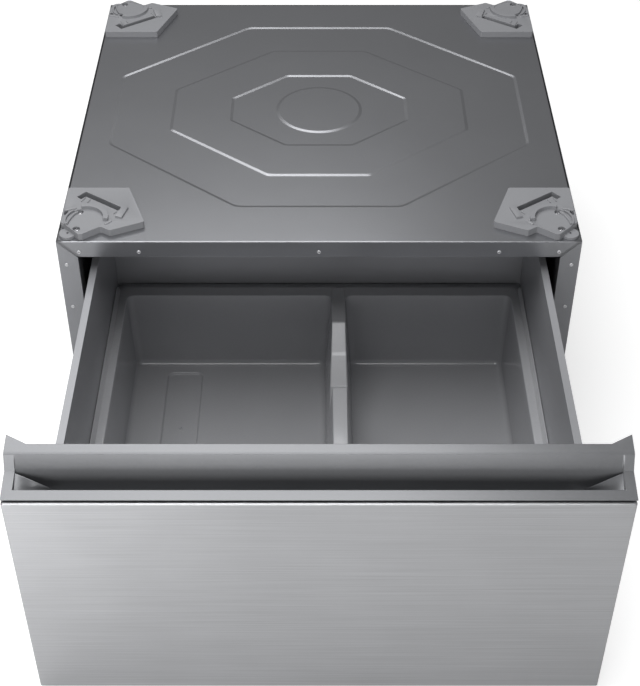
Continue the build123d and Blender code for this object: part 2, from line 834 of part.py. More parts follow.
# Drawer box: doubled steel sides with a ledge for the bin, and a steel back
ledge_z = bin_top_z - bin_wall
tab_low_z = bin_top_z + drawer_tab_rise
front_screw_pitch = drawer_tab_height / front_screw_count
front_screw_zs = [tab_low_z + front_screw_pitch * (i + 0.5) for i in range(front_screw_count)]


def front_screw_points(side):
    """Screw places on the front tab of a drawer side."""
    x = side * (drawer_inner_half - drawer_tab_width / 2)
    return [(x, inner_panel_y + drawer_sheet, z) for z in front_screw_zs]


def drawer_side(side, name):
    """Folded drawer side: outer wall, top, inner wall, bin ledge, lower hem and front tab."""
    outer = side * drawer_half
    inner = side * drawer_inner_half
    inner_back = side * (drawer_inner_half + drawer_sheet)
    with BuildPart() as panel:
        with BuildSketch(front_view(inner_panel_y)):
            span(outer, side * (drawer_half - drawer_sheet), drawer_bottom_height, drawer_top_height)
            span(outer, inner, drawer_top_height - drawer_sheet, drawer_top_height)
            span(inner, inner_back, ledge_z - drawer_sheet, drawer_top_height)
            hem_end = side * (drawer_half - drawer_hem)
            span(outer, hem_end, drawer_bottom_height, drawer_bottom_height + drawer_sheet)
        extrude(amount=inner_panel_y - drawer_back_y)
        block(
            inner_back, side * (drawer_inner_half - drawer_ledge),
            inner_panel_y, drawer_back_y - drawer_wall - seam,
            ledge_z - drawer_sheet, ledge_z,
        )
        block(
            inner, side * (drawer_inner_half - drawer_tab_width),
            inner_panel_y, inner_panel_y + drawer_sheet,
            tab_low_z, tab_low_z + drawer_tab_height,
        )
        drill(facing(front_screw_points(side), (0, 1, 0)), front_screw_radius + rivet_play, 2 * drawer_sheet)
        rail_places = facing(rail_screw_points(side, slide_gap, drawer_rail_y), (1, 0, 0))
        drill(rail_places, rail_screw_radius + rivet_play, 2 * drawer_sheet)
    save(panel, name)


drawer_side(-1, "drawer_left_side")
drawer_side(1, "drawer_right_side")

with BuildPart() as drawer_back:
    with BuildSketch(side_view(-drawer_inner_half)):
        wall_y = drawer_back_y - drawer_wall
        span(wall_y, wall_y + drawer_sheet, drawer_bottom_height, drawer_top_height)
        span(wall_y, drawer_back_y, drawer_top_height - drawer_sheet, drawer_top_height)
        return_low = drawer_top_height - drawer_back_return
        span(drawer_back_y - drawer_sheet, drawer_back_y, return_low, drawer_top_height)
    extrude(amount=2 * drawer_inner_half)
save(drawer_back, "drawer_back")

# Drawer front: inner panel, stainless skin and moulded handle trim
inner_half = half_width - skin_sheet - fit
inner_bottom = panel_bottom + skin_sheet + fit
inner_top = panel_top - inner_top_drop
with BuildPart() as drawer_inner_panel:
    front_edge_y = inner_panel_y - inner_return
    block(-inner_half, inner_half, front_edge_y, inner_panel_y, inner_bottom, inner_top)
    block(
        -inner_half + inner_sheet, inner_half - inner_sheet,
        front_edge_y, inner_panel_y - inner_sheet,
        inner_bottom + inner_sheet, inner_top,
        mode=Mode.SUBTRACT,
    )
    for side in (-1, 1):
        places = facing(front_screw_points(side), (0, 1, 0))
        drill(places, front_screw_radius + rivet_play, 4 * drawer_sheet)
save(drawer_inner_panel, "drawer_inner_panel")

with BuildPart() as front_panel:
    skin_back_y = face_y + skin_return
    block(-half_width, half_width, face_y, skin_back_y, panel_bottom, panel_top)
    fillet(front_panel.faces().sort_by(Axis.Y)[0].edges(), skin_round)
    hollow_half = half_width - skin_sheet
    block(
        -hollow_half, hollow_half,
        face_y + skin_sheet, skin_back_y,
        panel_bottom + skin_sheet, panel_top - skin_sheet,
        mode=Mode.SUBTRACT,
    )
    block(
        -hollow_half, hollow_half,
        face_y + skin_top_return, skin_back_y,
        panel_top - skin_sheet, panel_top,
        mode=Mode.SUBTRACT,
    )
save(front_panel, "front_panel")

rim_rise = tan(radians(rim_slope))
trim_low_z = panel_top + fit
rim_y = face_y + trim_set_back
rim_z = trim_low_z + trim_edge
trough_y = rim_y + rim_depth
lip_foot_y = trough_y + trough_width
lip_foot_z = rim_z + (lip_foot_y - rim_y) * rim_rise
lip_y = lip_foot_y + lip_lean
lip_z = lip_foot_z + lip_height
lip_back_y = lip_y + lip_depth
ear_z = lip_z + (drawer_y - lip_y) * rim_rise
trough_floor_z = rim_z - trough_depth
body_half = inner_half - inner_sheet - fit
body_back_y = inner_panel_y - inner_sheet - fit
trough_end_x = half_width - rim_end
clear_height = ear_z - trough_floor_z


def rim_level(y):
    """Height of the sloping rim face of the trim at a given Y."""
    return rim_z + (y - rim_y) * rim_rise


def facet_form(side):
    """Space over the sunken three-cornered facet at one end of the finger trough."""
    inner_x = trough_end_x - facet_length
    high_back = Vector(side * trough_end_x, lip_foot_y, rim_level(lip_foot_y))
    high_front = Vector(side * trough_end_x, trough_y, rim_level(trough_y))
    low_front = Vector(side * inner_x, trough_y, rim_level(trough_y) - facet_fall)
    normal = (high_front - high_back).cross(low_front - high_back)
    facet = Plane(origin=high_back, z_dir=normal if normal.Z > 0 else -normal)
    with BuildPart() as form:
        block(
            side * trough_end_x, side * inner_x,
            trough_y, lip_foot_y,
            trough_floor_z, lip_foot_z,
        )
        split(bisect_by=facet, keep=Keep.TOP)
    return form.part


with BuildPart() as handle_trim:
    with BuildSketch(side_view(-half_width)):
        outline([
            (rim_y, trim_low_z),
            (rim_y, rim_z),
            (lip_foot_y, lip_foot_z),
            (lip_y, lip_z),
            (drawer_y, ear_z),
            (drawer_y, trim_low_z),
        ])
    extrude(amount=cabinet_width)
    block(
        -body_half, body_half,
        trough_y - trough_wall, body_back_y,
        trough_floor_z - trough_wall, trim_low_z,
    )
    block(
        -body_half + trough_wall, body_half - trough_wall,
        lip_foot_y + trough_wall, body_back_y - trough_wall,
        trough_floor_z - trough_wall, trim_low_z - trough_wall,
        mode=Mode.SUBTRACT,
    )
    with BuildSketch(Plane.XY.offset(trim_low_z)):
        outline([
            (-half_width + ear_width, lip_back_y),
            (half_width - ear_width, lip_back_y),
            (half_width, drawer_y),
            (-half_width, drawer_y),
        ])
    extrude(amount=clear_height, mode=Mode.SUBTRACT)
    with BuildSketch(Plane.XY.offset(trough_floor_z)):
        outline([
            (-trough_end_x, lip_foot_y),
            (trough_end_x, lip_foot_y),
            (trough_end_x - facet_length, trough_y),
            (-trough_end_x + facet_length, trough_y),
        ])
    extrude(amount=clear_height, mode=Mode.SUBTRACT)
    trough_edges = handle_trim.edges().filter_by_position(Axis.Z, trough_floor_z - fit, trough_floor_z + fit)
    fillet(trough_edges, trough_floor_round)
    for side in (-1, 1):
        add(facet_form(side), mode=Mode.SUBTRACT)
    lip_edges = handle_trim.edges().filter_by(Axis.X).filter_by_position(Axis.Z, lip_z - fit, lip_z + fit)
    fillet(lip_edges, lip_round)
save(handle_trim, "handle_trim")

front_points = front_screw_points(-1) + front_screw_points(1)
fasteners(
    "drawer_front_screws", facing(front_points, (0, 1, 0)),
    front_screw_head_radius, front_screw_head_height, front_screw_radius, front_screw_length,
)

# Rubber bumpers between the drawer front and the cabinet
with BuildPart() as drawer_bumpers:
    bumper_length = inner_gap + closing_gap - fit
    bumper_x = half_width - bumper_inset
    points = [(side * bumper_x, inner_panel_y, panel_top - drop) for side in (-1, 1) for drop in bumper_drops]
    with Locations(*facing(points, (0, 1, 0))):
        Cylinder(bumper_radius, bumper_length, align=(Align.CENTER, Align.CENTER, Align.MIN))
save(drawer_bumpers, "drawer_bumpers")

# Storage bin with its moulded divider
wall_run = bin_depth * tan(radians(bin_draft))
divider_run = bin_depth * tan(radians(divider_draft))
divider_left = divider_offset - divider_width / 2
divider_right = divider_offset + divider_width / 2
under_z = bin_floor_z - bin_wall
dip_start_y = bin_mouth_back - divider_shelf
dip_bend_y = dip_start_y - dip_length
dip_end_y = dip_bend_y - dip_steep_length
dip_bend_z = bin_top_z - dip_fall
dip_low_z = dip_bend_z - dip_steep_fall


def rounded(x0, x1, y0, y1, radius):
    """Rectangle with round corners in the open sketch, from corner to corner."""
    with Locations(((x0 + x1) / 2, (y0 + y1) / 2)):
        RectangleRounded(x1 - x0, y1 - y0, radius)


def bin_form(x0, x1, low_x0, low_x1, grow, low_z, mode):
    """Drafted tub form from the flange down to a level, all sides grown by a wall."""
    share = (bin_top_z - low_z) / bin_depth
    run = wall_run * share
    front_y = bin_mouth_front - grow
    rear_y = bin_mouth_back + grow
    with BuildSketch(Plane.XY.offset(bin_top_z)) as mouth:
        rounded(x0 - grow, x1 + grow, front_y, rear_y, bin_corner)
    with BuildSketch(Plane.XY.offset(low_z)) as foot:
        rounded(low_x0 - grow, low_x1 + grow, front_y + run, rear_y - run, bin_corner)
    loft([mouth.sketch, foot.sketch], mode=mode)


with BuildPart() as storage_bin:
    bin_form(
        -bin_mouth_half, bin_mouth_half, -bin_mouth_half + wall_run, bin_mouth_half - wall_run,
        bin_wall, under_z, Mode.ADD,
    )
    with BuildSketch(Plane.XY.offset(bin_top_z)):
        rounded(-bin_half, bin_half, bin_front_y, bin_back_y, bin_corner)
    extrude(amount=-bin_wall)
    bin_form(
        -bin_mouth_half, divider_left, -bin_mouth_half + wall_run, divider_left - divider_run,
        0, bin_floor_z, Mode.SUBTRACT,
    )
    bin_form(
        divider_right, bin_mouth_half, divider_right + divider_run, bin_mouth_half - wall_run,
        0, bin_floor_z, Mode.SUBTRACT,
    )
    floor_edges = storage_bin.edges().filter_by_position(Axis.Z, bin_floor_z - fit, bin_floor_z + fit)
    fillet(floor_edges, bin_floor_round)
    with BuildSketch(side_view(divider_left - divider_run)):
        outline([
            (dip_start_y, bin_top_z),
            (dip_bend_y, dip_bend_z),
            (dip_end_y, dip_low_z),
            (dip_end_y, bin_top_z),
        ])
    extrude(amount=divider_width + 2 * divider_run, mode=Mode.SUBTRACT)
    with BuildSketch(side_view(divider_left + bin_wall)):
        outline([
            (bin_mouth_front, under_z),
            (bin_mouth_front, bin_top_z - bin_wall),
            (dip_end_y - bin_wall, bin_top_z - bin_wall),
            (dip_end_y - bin_wall, dip_low_z - bin_wall),
            (dip_bend_y, dip_bend_z - bin_wall),
            (dip_start_y, bin_top_z - bin_wall),
            (bin_mouth_back - wall_run, bin_top_z - bin_wall),
            (bin_mouth_back - wall_run, under_z),
        ])
    extrude(amount=divider_width - 2 * bin_wall, mode=Mode.SUBTRACT)
    upstand_front = bin_front_y + bin_corner
    with BuildSketch(front_view(upstand_front)):
        for side in (-1, 1):
            outline([
                (side * bin_half, bin_top_z - bin_wall),
                (side * bin_half, bin_top_z + bin_upstand),
                (side * (bin_half - bin_upstand_width), bin_top_z),
                (side * (bin_half - bin_upstand_width), bin_top_z - bin_wall),
            ])
    extrude(amount=upstand_front - (bin_back_y - bin_corner))
    tray_left = -bin_mouth_half + wall_run + tray_inset
    tray_back = bin_mouth_back - wall_run - tray_setback
    tray_front = bin_mouth_front + wall_run + tray_setback
    with BuildSketch(Plane.XY.offset(bin_floor_z)):
        rounded(tray_left, tray_left + tray_width, tray_front, tray_back, tray_corner)
    extrude(amount=-tray_depth, taper=bin_draft, mode=Mode.SUBTRACT)
    pip = (tray_left + tray_width / 2, tray_back - floor_pip_setback, bin_floor_z - tray_depth)
    with Locations(pip):
        Cylinder(floor_pip_radius, floor_pip_rise, align=(Align.CENTER, Align.CENTER, Align.MIN))
save(storage_bin, "storage_bin")
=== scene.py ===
"""Looks of a laundry pedestal with its storage drawer standing open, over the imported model.

Lengths are in metres in the model's own frame: +X to the right, +Y to the back, +Z up, the floor at zero.
"""

import json
import logging
from dataclasses import dataclass, field
from enum import Enum
from math import pi, radians, tan

import bmesh
import bpy
import numpy as np
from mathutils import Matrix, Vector


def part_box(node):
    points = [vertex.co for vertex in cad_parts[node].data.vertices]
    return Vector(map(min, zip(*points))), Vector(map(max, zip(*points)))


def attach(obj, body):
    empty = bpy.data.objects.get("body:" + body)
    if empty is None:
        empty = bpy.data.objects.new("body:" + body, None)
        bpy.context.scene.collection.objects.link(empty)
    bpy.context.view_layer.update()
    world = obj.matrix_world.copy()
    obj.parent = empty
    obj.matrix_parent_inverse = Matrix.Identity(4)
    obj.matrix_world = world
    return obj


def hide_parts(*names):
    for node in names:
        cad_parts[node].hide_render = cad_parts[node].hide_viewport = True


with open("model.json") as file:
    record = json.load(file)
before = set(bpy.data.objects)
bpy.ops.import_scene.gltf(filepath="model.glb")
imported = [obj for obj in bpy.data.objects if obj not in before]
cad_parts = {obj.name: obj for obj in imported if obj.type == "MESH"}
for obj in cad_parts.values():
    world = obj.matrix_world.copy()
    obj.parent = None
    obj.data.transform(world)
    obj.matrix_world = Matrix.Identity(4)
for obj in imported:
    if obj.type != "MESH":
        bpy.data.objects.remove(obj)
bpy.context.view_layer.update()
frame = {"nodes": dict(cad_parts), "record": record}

log = logging.getLogger("pedestal")
MM = 0.001
NOISE_SPAN = (0.3, 0.7)  # where nearly all values of the fractal noise lie
TINY = 1e-9  # keeps a length of nothing from dividing
WELD = 1e-6  # points closer than this become one
SLIVER = 1e-7  # edges and gaps shorter than this count as none
FLAT = 0.6  # degrees up to which the model's faces are joined as flat
CREASE = 50.0  # degrees past which an edge of a new piece stays sharp
SHARP = 40.0  # the same for copies of the model's pieces and for screw heads
ROUNDING_STEPS = 2
LEG_SHARE = 0.49  # largest share of a straight leg that one rounding takes
CORNER_POINTS = 10  # on each round corner of a loop
OUTWARD = np.array([-1.0, -1.0, 1.0, 1.0])  # signs that grow a box of low X, low Y, high X and high Y
Stage = tuple[np.ndarray, np.ndarray, float]  # box, corner radii and height of one loop


class Side(Enum):
    """Left or right half of the pedestal, seen from the front."""

    LEFT = -1
    RIGHT = 1


class Corner(Enum):
    """Corner of the cabinet, as its name in the model."""

    FRONT_LEFT = "front_left"
    FRONT_RIGHT = "front_right"
    REAR_LEFT = "rear_left"
    REAR_RIGHT = "rear_right"


class Graph:
    """Node tree of one material, with short calls to add nodes and to join them."""

    def __init__(self, name: str) -> None:
        """Start a material with one principled shader.

        Args:
            name: name of the new material.
        """
        self.material = bpy.data.materials.new(name)
        self.material.use_nodes = True
        self.tree = self.material.node_tree
        self.shader = self.tree.nodes["Principled BSDF"]

    def add(self, kind: str, inputs: dict | None = None, **settings: object) -> bpy.types.Node:
        """Add a node.

        Args:
            kind: type name of the node.
            inputs: socket name or number to a value or to the output socket that feeds it.
            **settings: properties of the node.

        Returns:
            The new node.
        """
        node = self.tree.nodes.new(kind)
        for key, value in settings.items():
            setattr(node, key, value)
        for key, value in (inputs or {}).items():
            self.feed(node.inputs[key], value)
        return node

    def feed(self, socket: bpy.types.NodeSocket, value: object) -> None:
        """Link an output to a socket, or set the socket to a plain value.

        Args:
            socket: input socket of a node.
            value: output socket or plain value.
        """
        if isinstance(value, bpy.types.NodeSocket):
            self.tree.links.new(value, socket)
        else:
            socket.default_value = value

    def place(self, scale: tuple[float, float, float]) -> bpy.types.NodeSocket:
        """Object coordinates stretched along each axis.

        Args:
            scale: factor along X, Y and Z.

        Returns:
            Vector output.
        """
        coordinates = self.add("ShaderNodeTexCoord")
        mapping = self.add("ShaderNodeMapping", {"Vector": coordinates.outputs["Object"], "Scale": scale})
        return mapping.outputs["Vector"]

    def noise(self, scale: tuple[float, float, float], detail: float) -> bpy.types.NodeSocket:
        """Fractal noise value on stretched object coordinates.

        Args:
            scale: grains per metre along each axis.
            detail: octaves of the noise.

        Returns:
            Noise value around one half.
        """
        node = self.add("ShaderNodeTexNoise", {"Vector": self.place(scale), "Scale": 1.0, "Detail": detail})
        return node.outputs["Fac"]

    def between(self, value: bpy.types.NodeSocket, low: float, high: float) -> bpy.types.NodeSocket:
        """Carry the usual span of a noise value over to a range.

        Args:
            value: noise value around one half.
            low: start of the range.
            high: end of the range.

        Returns:
            Value output.
        """
        spans = {"From Min": NOISE_SPAN[0], "From Max": NOISE_SPAN[1], "To Min": low, "To Max": high}
        node = self.add("ShaderNodeMapRange", {"Value": value, **spans})
        return node.outputs["Result"]

    def tint(
        self, value: bpy.types.NodeSocket, colour: tuple[float, float, float], spread: float,
    ) -> bpy.types.NodeSocket:
        """Colour that gets darker and lighter with a noise value.

        Args:
            value: noise value around one half.
            colour: middle colour.
            spread: share by which the colour falls and rises.

        Returns:
            Colour output.
        """
        ramp = self.add("ShaderNodeValToRGB", {"Fac": value})
        for stop, place, share in zip(ramp.color_ramp.elements, NOISE_SPAN, (1 - spread, 1 + spread)):
            stop.position = place
            stop.color = (*[channel * share for channel in colour], 1.0)
        return ramp.outputs["Color"]

    def bump(self, height: bpy.types.NodeSocket, depth: float) -> None:
        """Roughen the shader's normal by a height value over a depth in metres."""
        node = self.add("ShaderNodeBump", {"Height": height, "Distance": depth, "Strength": 1.0})
        self.feed(self.shader.inputs["Normal"], node.outputs["Normal"])


@dataclass(frozen=True)
class Finish:
    """Surface finish shared by several pieces: a colour, its gloss and the grain that breaks it up.

    The grain is fractal noise with so many grains per metre along each axis. It tints the colour, changes
    the roughness and stands up as a fine relief. The cloud is a broad noise that tints the colour once more.
    """

    name: str
    colour: tuple[float, float, float]
    roughness: tuple[float, float]
    metallic: float
    grain: tuple[float, float, float]
    grain_detail: float
    relief: float
    tint: float
    cloud: float = 0.02
    cloud_grain: float = 9.0
    cloud_detail: float = 2.0
    anisotropic: float = 0.0

    def build(self) -> bpy.types.Material:
        """Make the material.

        Returns:
            Procedural material on object coordinates.
        """
        graph = Graph(self.name)
        shader = graph.shader
        grain = graph.noise(self.grain, self.grain_detail)
        cloud = graph.noise((self.cloud_grain,) * 3, self.cloud_detail)
        fine = graph.tint(grain, self.colour, self.tint)
        broad = graph.tint(cloud, (1.0, 1.0, 1.0), self.cloud)
        mixed = graph.add("ShaderNodeMix", data_type="RGBA", blend_type="MULTIPLY")
        graph.feed(mixed.inputs["Factor"], 1.0)
        graph.feed(mixed.inputs["A"], fine)
        graph.feed(mixed.inputs["B"], broad)
        graph.feed(shader.inputs["Base Color"], mixed.outputs["Result"])
        graph.feed(shader.inputs["Roughness"], graph.between(grain, *self.roughness))
        shader.inputs["Metallic"].default_value = self.metallic
        if self.anisotropic:
            shader.inputs["Anisotropic"].default_value = self.anisotropic
            tangent = graph.add("ShaderNodeTangent", direction_type="RADIAL", axis="Z")
            graph.feed(shader.inputs["Tangent"], tangent.outputs["Tangent"])
        graph.bump(grain, self.relief)
        return graph.material


class Palette:
    """Finishes of the pedestal, each under the name of the slot or of the pieces that it dresses."""

    finishes: tuple[Finish, ...] = (
        Finish(
            "grey_paint", (0.325, 0.330, 0.347), (0.28, 0.34), 0.86,
            grain=(900.0, 900.0, 900.0), grain_detail=2.0, relief=0.000003, tint=0.03,
        ),
        # Drawer's copy of the grey paint, lighter and less metallic: its lighter colour is painted light
        # that brightens the drawer's walls and the top edges of its sides.
        Finish(
            "drawer_paint_painted_light", (0.360, 0.365, 0.383), (0.32, 0.40), 0.3,
            grain=(900.0, 500.0, 900.0), grain_detail=2.0, relief=0.000004, tint=0.03,
        ),
        Finish(
            "stainless", (0.53, 0.535, 0.55), (0.28, 0.36), 1.0,
            grain=(6.0, 900.0, 900.0), grain_detail=4.0, relief=0.000008, tint=0.09, anisotropic=0.6,
        ),
        Finish(
            "zinc_steel", (0.55, 0.56, 0.57), (0.30, 0.45), 1.0,
            grain=(220.0, 220.0, 220.0), grain_detail=4.0, relief=0.00001, tint=0.10,
        ),
        Finish(
            "bright_steel", (0.72, 0.72, 0.74), (0.10, 0.16), 1.0,
            grain=(400.0, 400.0, 400.0), grain_detail=2.0, relief=0.000004, tint=0.04,
        ),
        Finish(
            "rivet_metal", (0.78, 0.78, 0.80), (0.34, 0.44), 0.6,
            grain=(400.0, 400.0, 400.0), grain_detail=2.0, relief=0.000004, tint=0.04,
        ),
        Finish(
            "trim_plastic", (0.188, 0.192, 0.201), (0.28, 0.32), 0.4,
            grain=(300.0, 300.0, 300.0), grain_detail=2.0, relief=0.000002, tint=0.02,
        ),
        Finish(
            "bin_plastic", (0.385, 0.389, 0.405), (0.17, 0.21), 0.1,
            grain=(400.0, 400.0, 400.0), grain_detail=3.0, relief=0.000001, tint=0.02,
        ),
        Finish(
            "holder_plastic", (0.260, 0.264, 0.278), (0.36, 0.44), 0.0,
            grain=(700.0, 700.0, 700.0), grain_detail=3.0, relief=0.000006, tint=0.03,
        ),
        Finish(
            "rubber", (0.018, 0.018, 0.019), (0.62, 0.78), 0.0,
            grain=(700.0, 700.0, 700.0), grain_detail=3.0, relief=0.00004, tint=0.15,
        ),
    )

    def __init__(self) -> None:
        """Make every material once."""
        self.materials = {finish.name: finish.build() for finish in self.finishes}

    def dress(self, piece: bpy.types.Object, slot: str) -> None:
        """Give an object the one material of a slot."""
        piece.data.materials.clear()
        piece.data.materials.append(self.materials[slot])


def rounded_path(corners: np.ndarray, reach: np.ndarray, steps: int) -> np.ndarray:
    """Polyline whose inner corners are rounded by quadratic curves.

    A curve starts and ends at the given reach from its corner along the two legs, or at less than half of a
    shorter leg, and its points are (1-t)^2 start + 2t(1-t) corner + t^2 end for t from 0 to 1.

    Args:
        corners: points of the polyline, the last two axes being the point number and the coordinates.
        reach: reach of each inner corner's curve.
        steps: points on each curve.

    Returns:
        Points of the rounded line, with the same leading axes as the corners.
    """
    middle = corners[..., 1:-1, :]
    legs = [corners[..., :-2, :] - middle, corners[..., 2:, :] - middle]
    ends = []
    for leg in legs:
        length = np.maximum(np.linalg.norm(leg, axis=-1, keepdims=True), TINY)
        ends.append(middle + leg / length * np.minimum(reach[:, None], LEG_SHARE * length))
    t = np.linspace(0.0, 1.0, steps)[:, None]
    start, bend, end = (points[..., None, :] for points in (ends[0], middle, ends[1]))
    curve = (1 - t) ** 2 * start + 2 * t * (1 - t) * bend + t**2 * end
    inner = curve.reshape(*corners.shape[:-2], -1, corners.shape[-1])
    return np.concatenate((corners[..., :1, :], inner, corners[..., -1:, :]), axis=-2)


def rounded_loop(box: np.ndarray, radii: np.ndarray, marks: tuple[np.ndarray, np.ndarray]) -> np.ndarray:
    """Closed loop round a rectangle with quarter-circle corners, counterclockwise from its highest corner.

    Args:
        box: low X, low Y, high X and high Y.
        radii: radius of the corners in turn: high high, low high, low low, high low.
        marks: places, rising, of the points on the sides along X and on the sides along Y. A place past the
            start of a corner is held there.

    Returns:
        Loop of points, each corner followed by the marks of the next side.
    """
    corners = box[[[2, 3], [0, 3], [0, 1], [2, 1]]]
    inward = np.array([(-1, -1), (1, -1), (1, 1), (-1, 1)])
    centres = corners + inward * radii[:, None]
    quarter = np.linspace(0.0, pi / 2, CORNER_POINTS)
    stretches = []
    for turn in range(4):
        angle = quarter + turn * pi / 2
        arc = np.stack((np.cos(angle), np.sin(angle)), axis=-1) * radii[turn]
        axis = turn % 2
        ends = np.sort(centres[[turn, (turn + 1) % 4], axis])
        places = np.clip(marks[axis], *ends)
        fixed = corners[turn][1] if axis == 0 else corners[(turn + 1) % 4][0]
        line = np.full((len(places), 2), fixed)
        line[:, axis] = places[::-1] if turn < 2 else places
        stretches += [centres[turn] + arc, line]
    return np.concatenate(stretches)


def smooth(t: np.ndarray | float) -> np.ndarray:
    """Ease from 0 to 1: 3t^2 - 2t^3, with t held between 0 and 1."""
    held = np.clip(t, 0.0, 1.0)
    return held * held * (3.0 - 2.0 * held)


def soft_ramp(t: np.ndarray, bend: float) -> np.ndarray:
    """Zero below 0 and t above it, joined by the parabola (t + bend)^2 / (4 bend) within the bend."""
    return np.where(np.abs(t) < bend, (t + bend) ** 2 / (4 * bend), np.maximum(t, 0.0))


def turn_angles(count: int) -> np.ndarray:
    """Even angles of one whole turn, the last one short of the first."""
    return np.linspace(0.0, 2 * pi, count, endpoint=False)


@dataclass
class Patchwork:
    """Grids of points that become one mesh."""

    points: list[np.ndarray] = field(default_factory=list)
    faces: list[list[int]] = field(default_factory=list)
    count: int = 0

    def grid(self, points: np.ndarray, close_rows: bool = False, close_columns: bool = False) -> None:
        """Add a grid of quads.

        Args:
            points: rows by columns by three.
            close_rows: whether the last row meets the first.
            close_columns: whether the last column meets the first.
        """
        rows, columns = points.shape[:2]
        index = np.arange(rows * columns).reshape(rows, columns) + self.count
        if close_rows:
            index = np.vstack((index, index[:1]))
        if close_columns:
            index = np.hstack((index, index[:, :1]))
        quads = np.stack((index[:-1, :-1], index[1:, :-1], index[1:, 1:], index[:-1, 1:]), axis=-1)
        self.points.append(points.reshape(-1, 3))
        self.faces += quads.reshape(-1, 4).tolist()
        self.count += rows * columns

    def cap(self, loop: np.ndarray) -> None:
        """Add one flat face round a loop of points.

        Args:
            loop: points of the loop in turn.
        """
        self.points.append(loop)
        self.faces.append(list(range(self.count, self.count + len(loop))))
        self.count += len(loop)

    def build(self, name: str, crease: float = CREASE, closed: bool = True) -> bpy.types.Object:
        """Join the grids into one smooth-shaded object.

        Args:
            name: name of the object.
            crease: angle in degrees past which an edge stays sharp.
            closed: whether the surface shuts a volume, so that its faces can be turned outwards.

        Returns:
            The object, linked to the scene.
        """
        mesh = bpy.data.meshes.new(name)
        mesh.from_pydata(np.concatenate(self.points).tolist(), [], self.faces)
        net = bmesh.new()
        net.from_mesh(mesh)
        bmesh.ops.remove_doubles(net, verts=net.verts, dist=WELD)
        bmesh.ops.dissolve_degenerate(net, edges=net.edges, dist=SLIVER)
        if closed:
            bmesh.ops.recalc_face_normals(net, faces=net.faces)
        return link_mesh(net, mesh, name, crease)


def link_mesh(net: bmesh.types.BMesh, mesh: bpy.types.Mesh, name: str, crease: float) -> bpy.types.Object:
    """Write an edited net back to its mesh and put that into the scene, shaded smooth.

    Args:
        net: edited net, which is freed.
        mesh: mesh that it goes into.
        name: name of the new object.
        crease: angle in degrees past which an edge stays sharp.

    Returns:
        The new object.
    """
    net.to_mesh(mesh)
    net.free()
    mesh.polygons.foreach_set("use_smooth", np.ones(len(mesh.polygons), dtype=bool))
    mesh.set_sharp_from_angle(angle=radians(crease))
    piece = bpy.data.objects.new(name, mesh)
    bpy.context.scene.collection.objects.link(piece)
    return piece


def soft_copy(node: str, width: float) -> bpy.types.Object:
    """Copy of a node of the model with its flat faces joined and its sharp edges rounded.

    Args:
        node: name of the node.
        width: width of the rounding.

    Returns:
        The new object, which doesn't yet stand for the node.
    """
    mesh = frame["nodes"][node].data.copy()
    net = bmesh.new()
    net.from_mesh(mesh)
    bmesh.ops.remove_doubles(net, verts=net.verts, dist=2 * WELD)
    bmesh.ops.dissolve_limit(net, angle_limit=radians(FLAT), verts=net.verts, edges=net.edges)
    piece = link_mesh(net, mesh, f"soft_{node}", SHARP)
    bevel = piece.modifiers.new("rounding", "BEVEL")
    bevel.width = width
    bevel.segments = ROUNDING_STEPS
    bevel.limit_method = "ANGLE"
    bevel.angle_limit = radians(SHARP)
    bevel.use_clamp_overlap = True
    bevel.harden_normals = True
    return piece


def thicken(piece: bpy.types.Object, thickness: float) -> None:
    """Give an open sheet its wall, to the back of its faces.

    Args:
        piece: the sheet.
        thickness: thickness of the wall.
    """
    wall = piece.modifiers.new("wall", "SOLIDIFY")
    wall.thickness = thickness
    wall.offset = -1.0


@dataclass
class SubAssembly:
    """Pieces that belong together and are dressed from one palette."""

    palette: Palette

    def settle(self, piece: bpy.types.Object, slot: str, body: str, *nodes: str, finish: str = "") -> None:
        """Dress a new piece, let it ride on a body and let it stand for nodes of the model.

        Args:
            piece: the new piece.
            slot: slot of the record that the piece takes its finish from.
            body: body that it moves with.
            *nodes: nodes that it stands for.
            finish: finish to use where the slot has more than one.
        """
        self.palette.dress(piece, finish or slot)
        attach(piece, body)
        if nodes:
            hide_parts(*nodes)
        log.info("%s: %d faces, rides on %s", piece.name, len(piece.data.polygons), body)


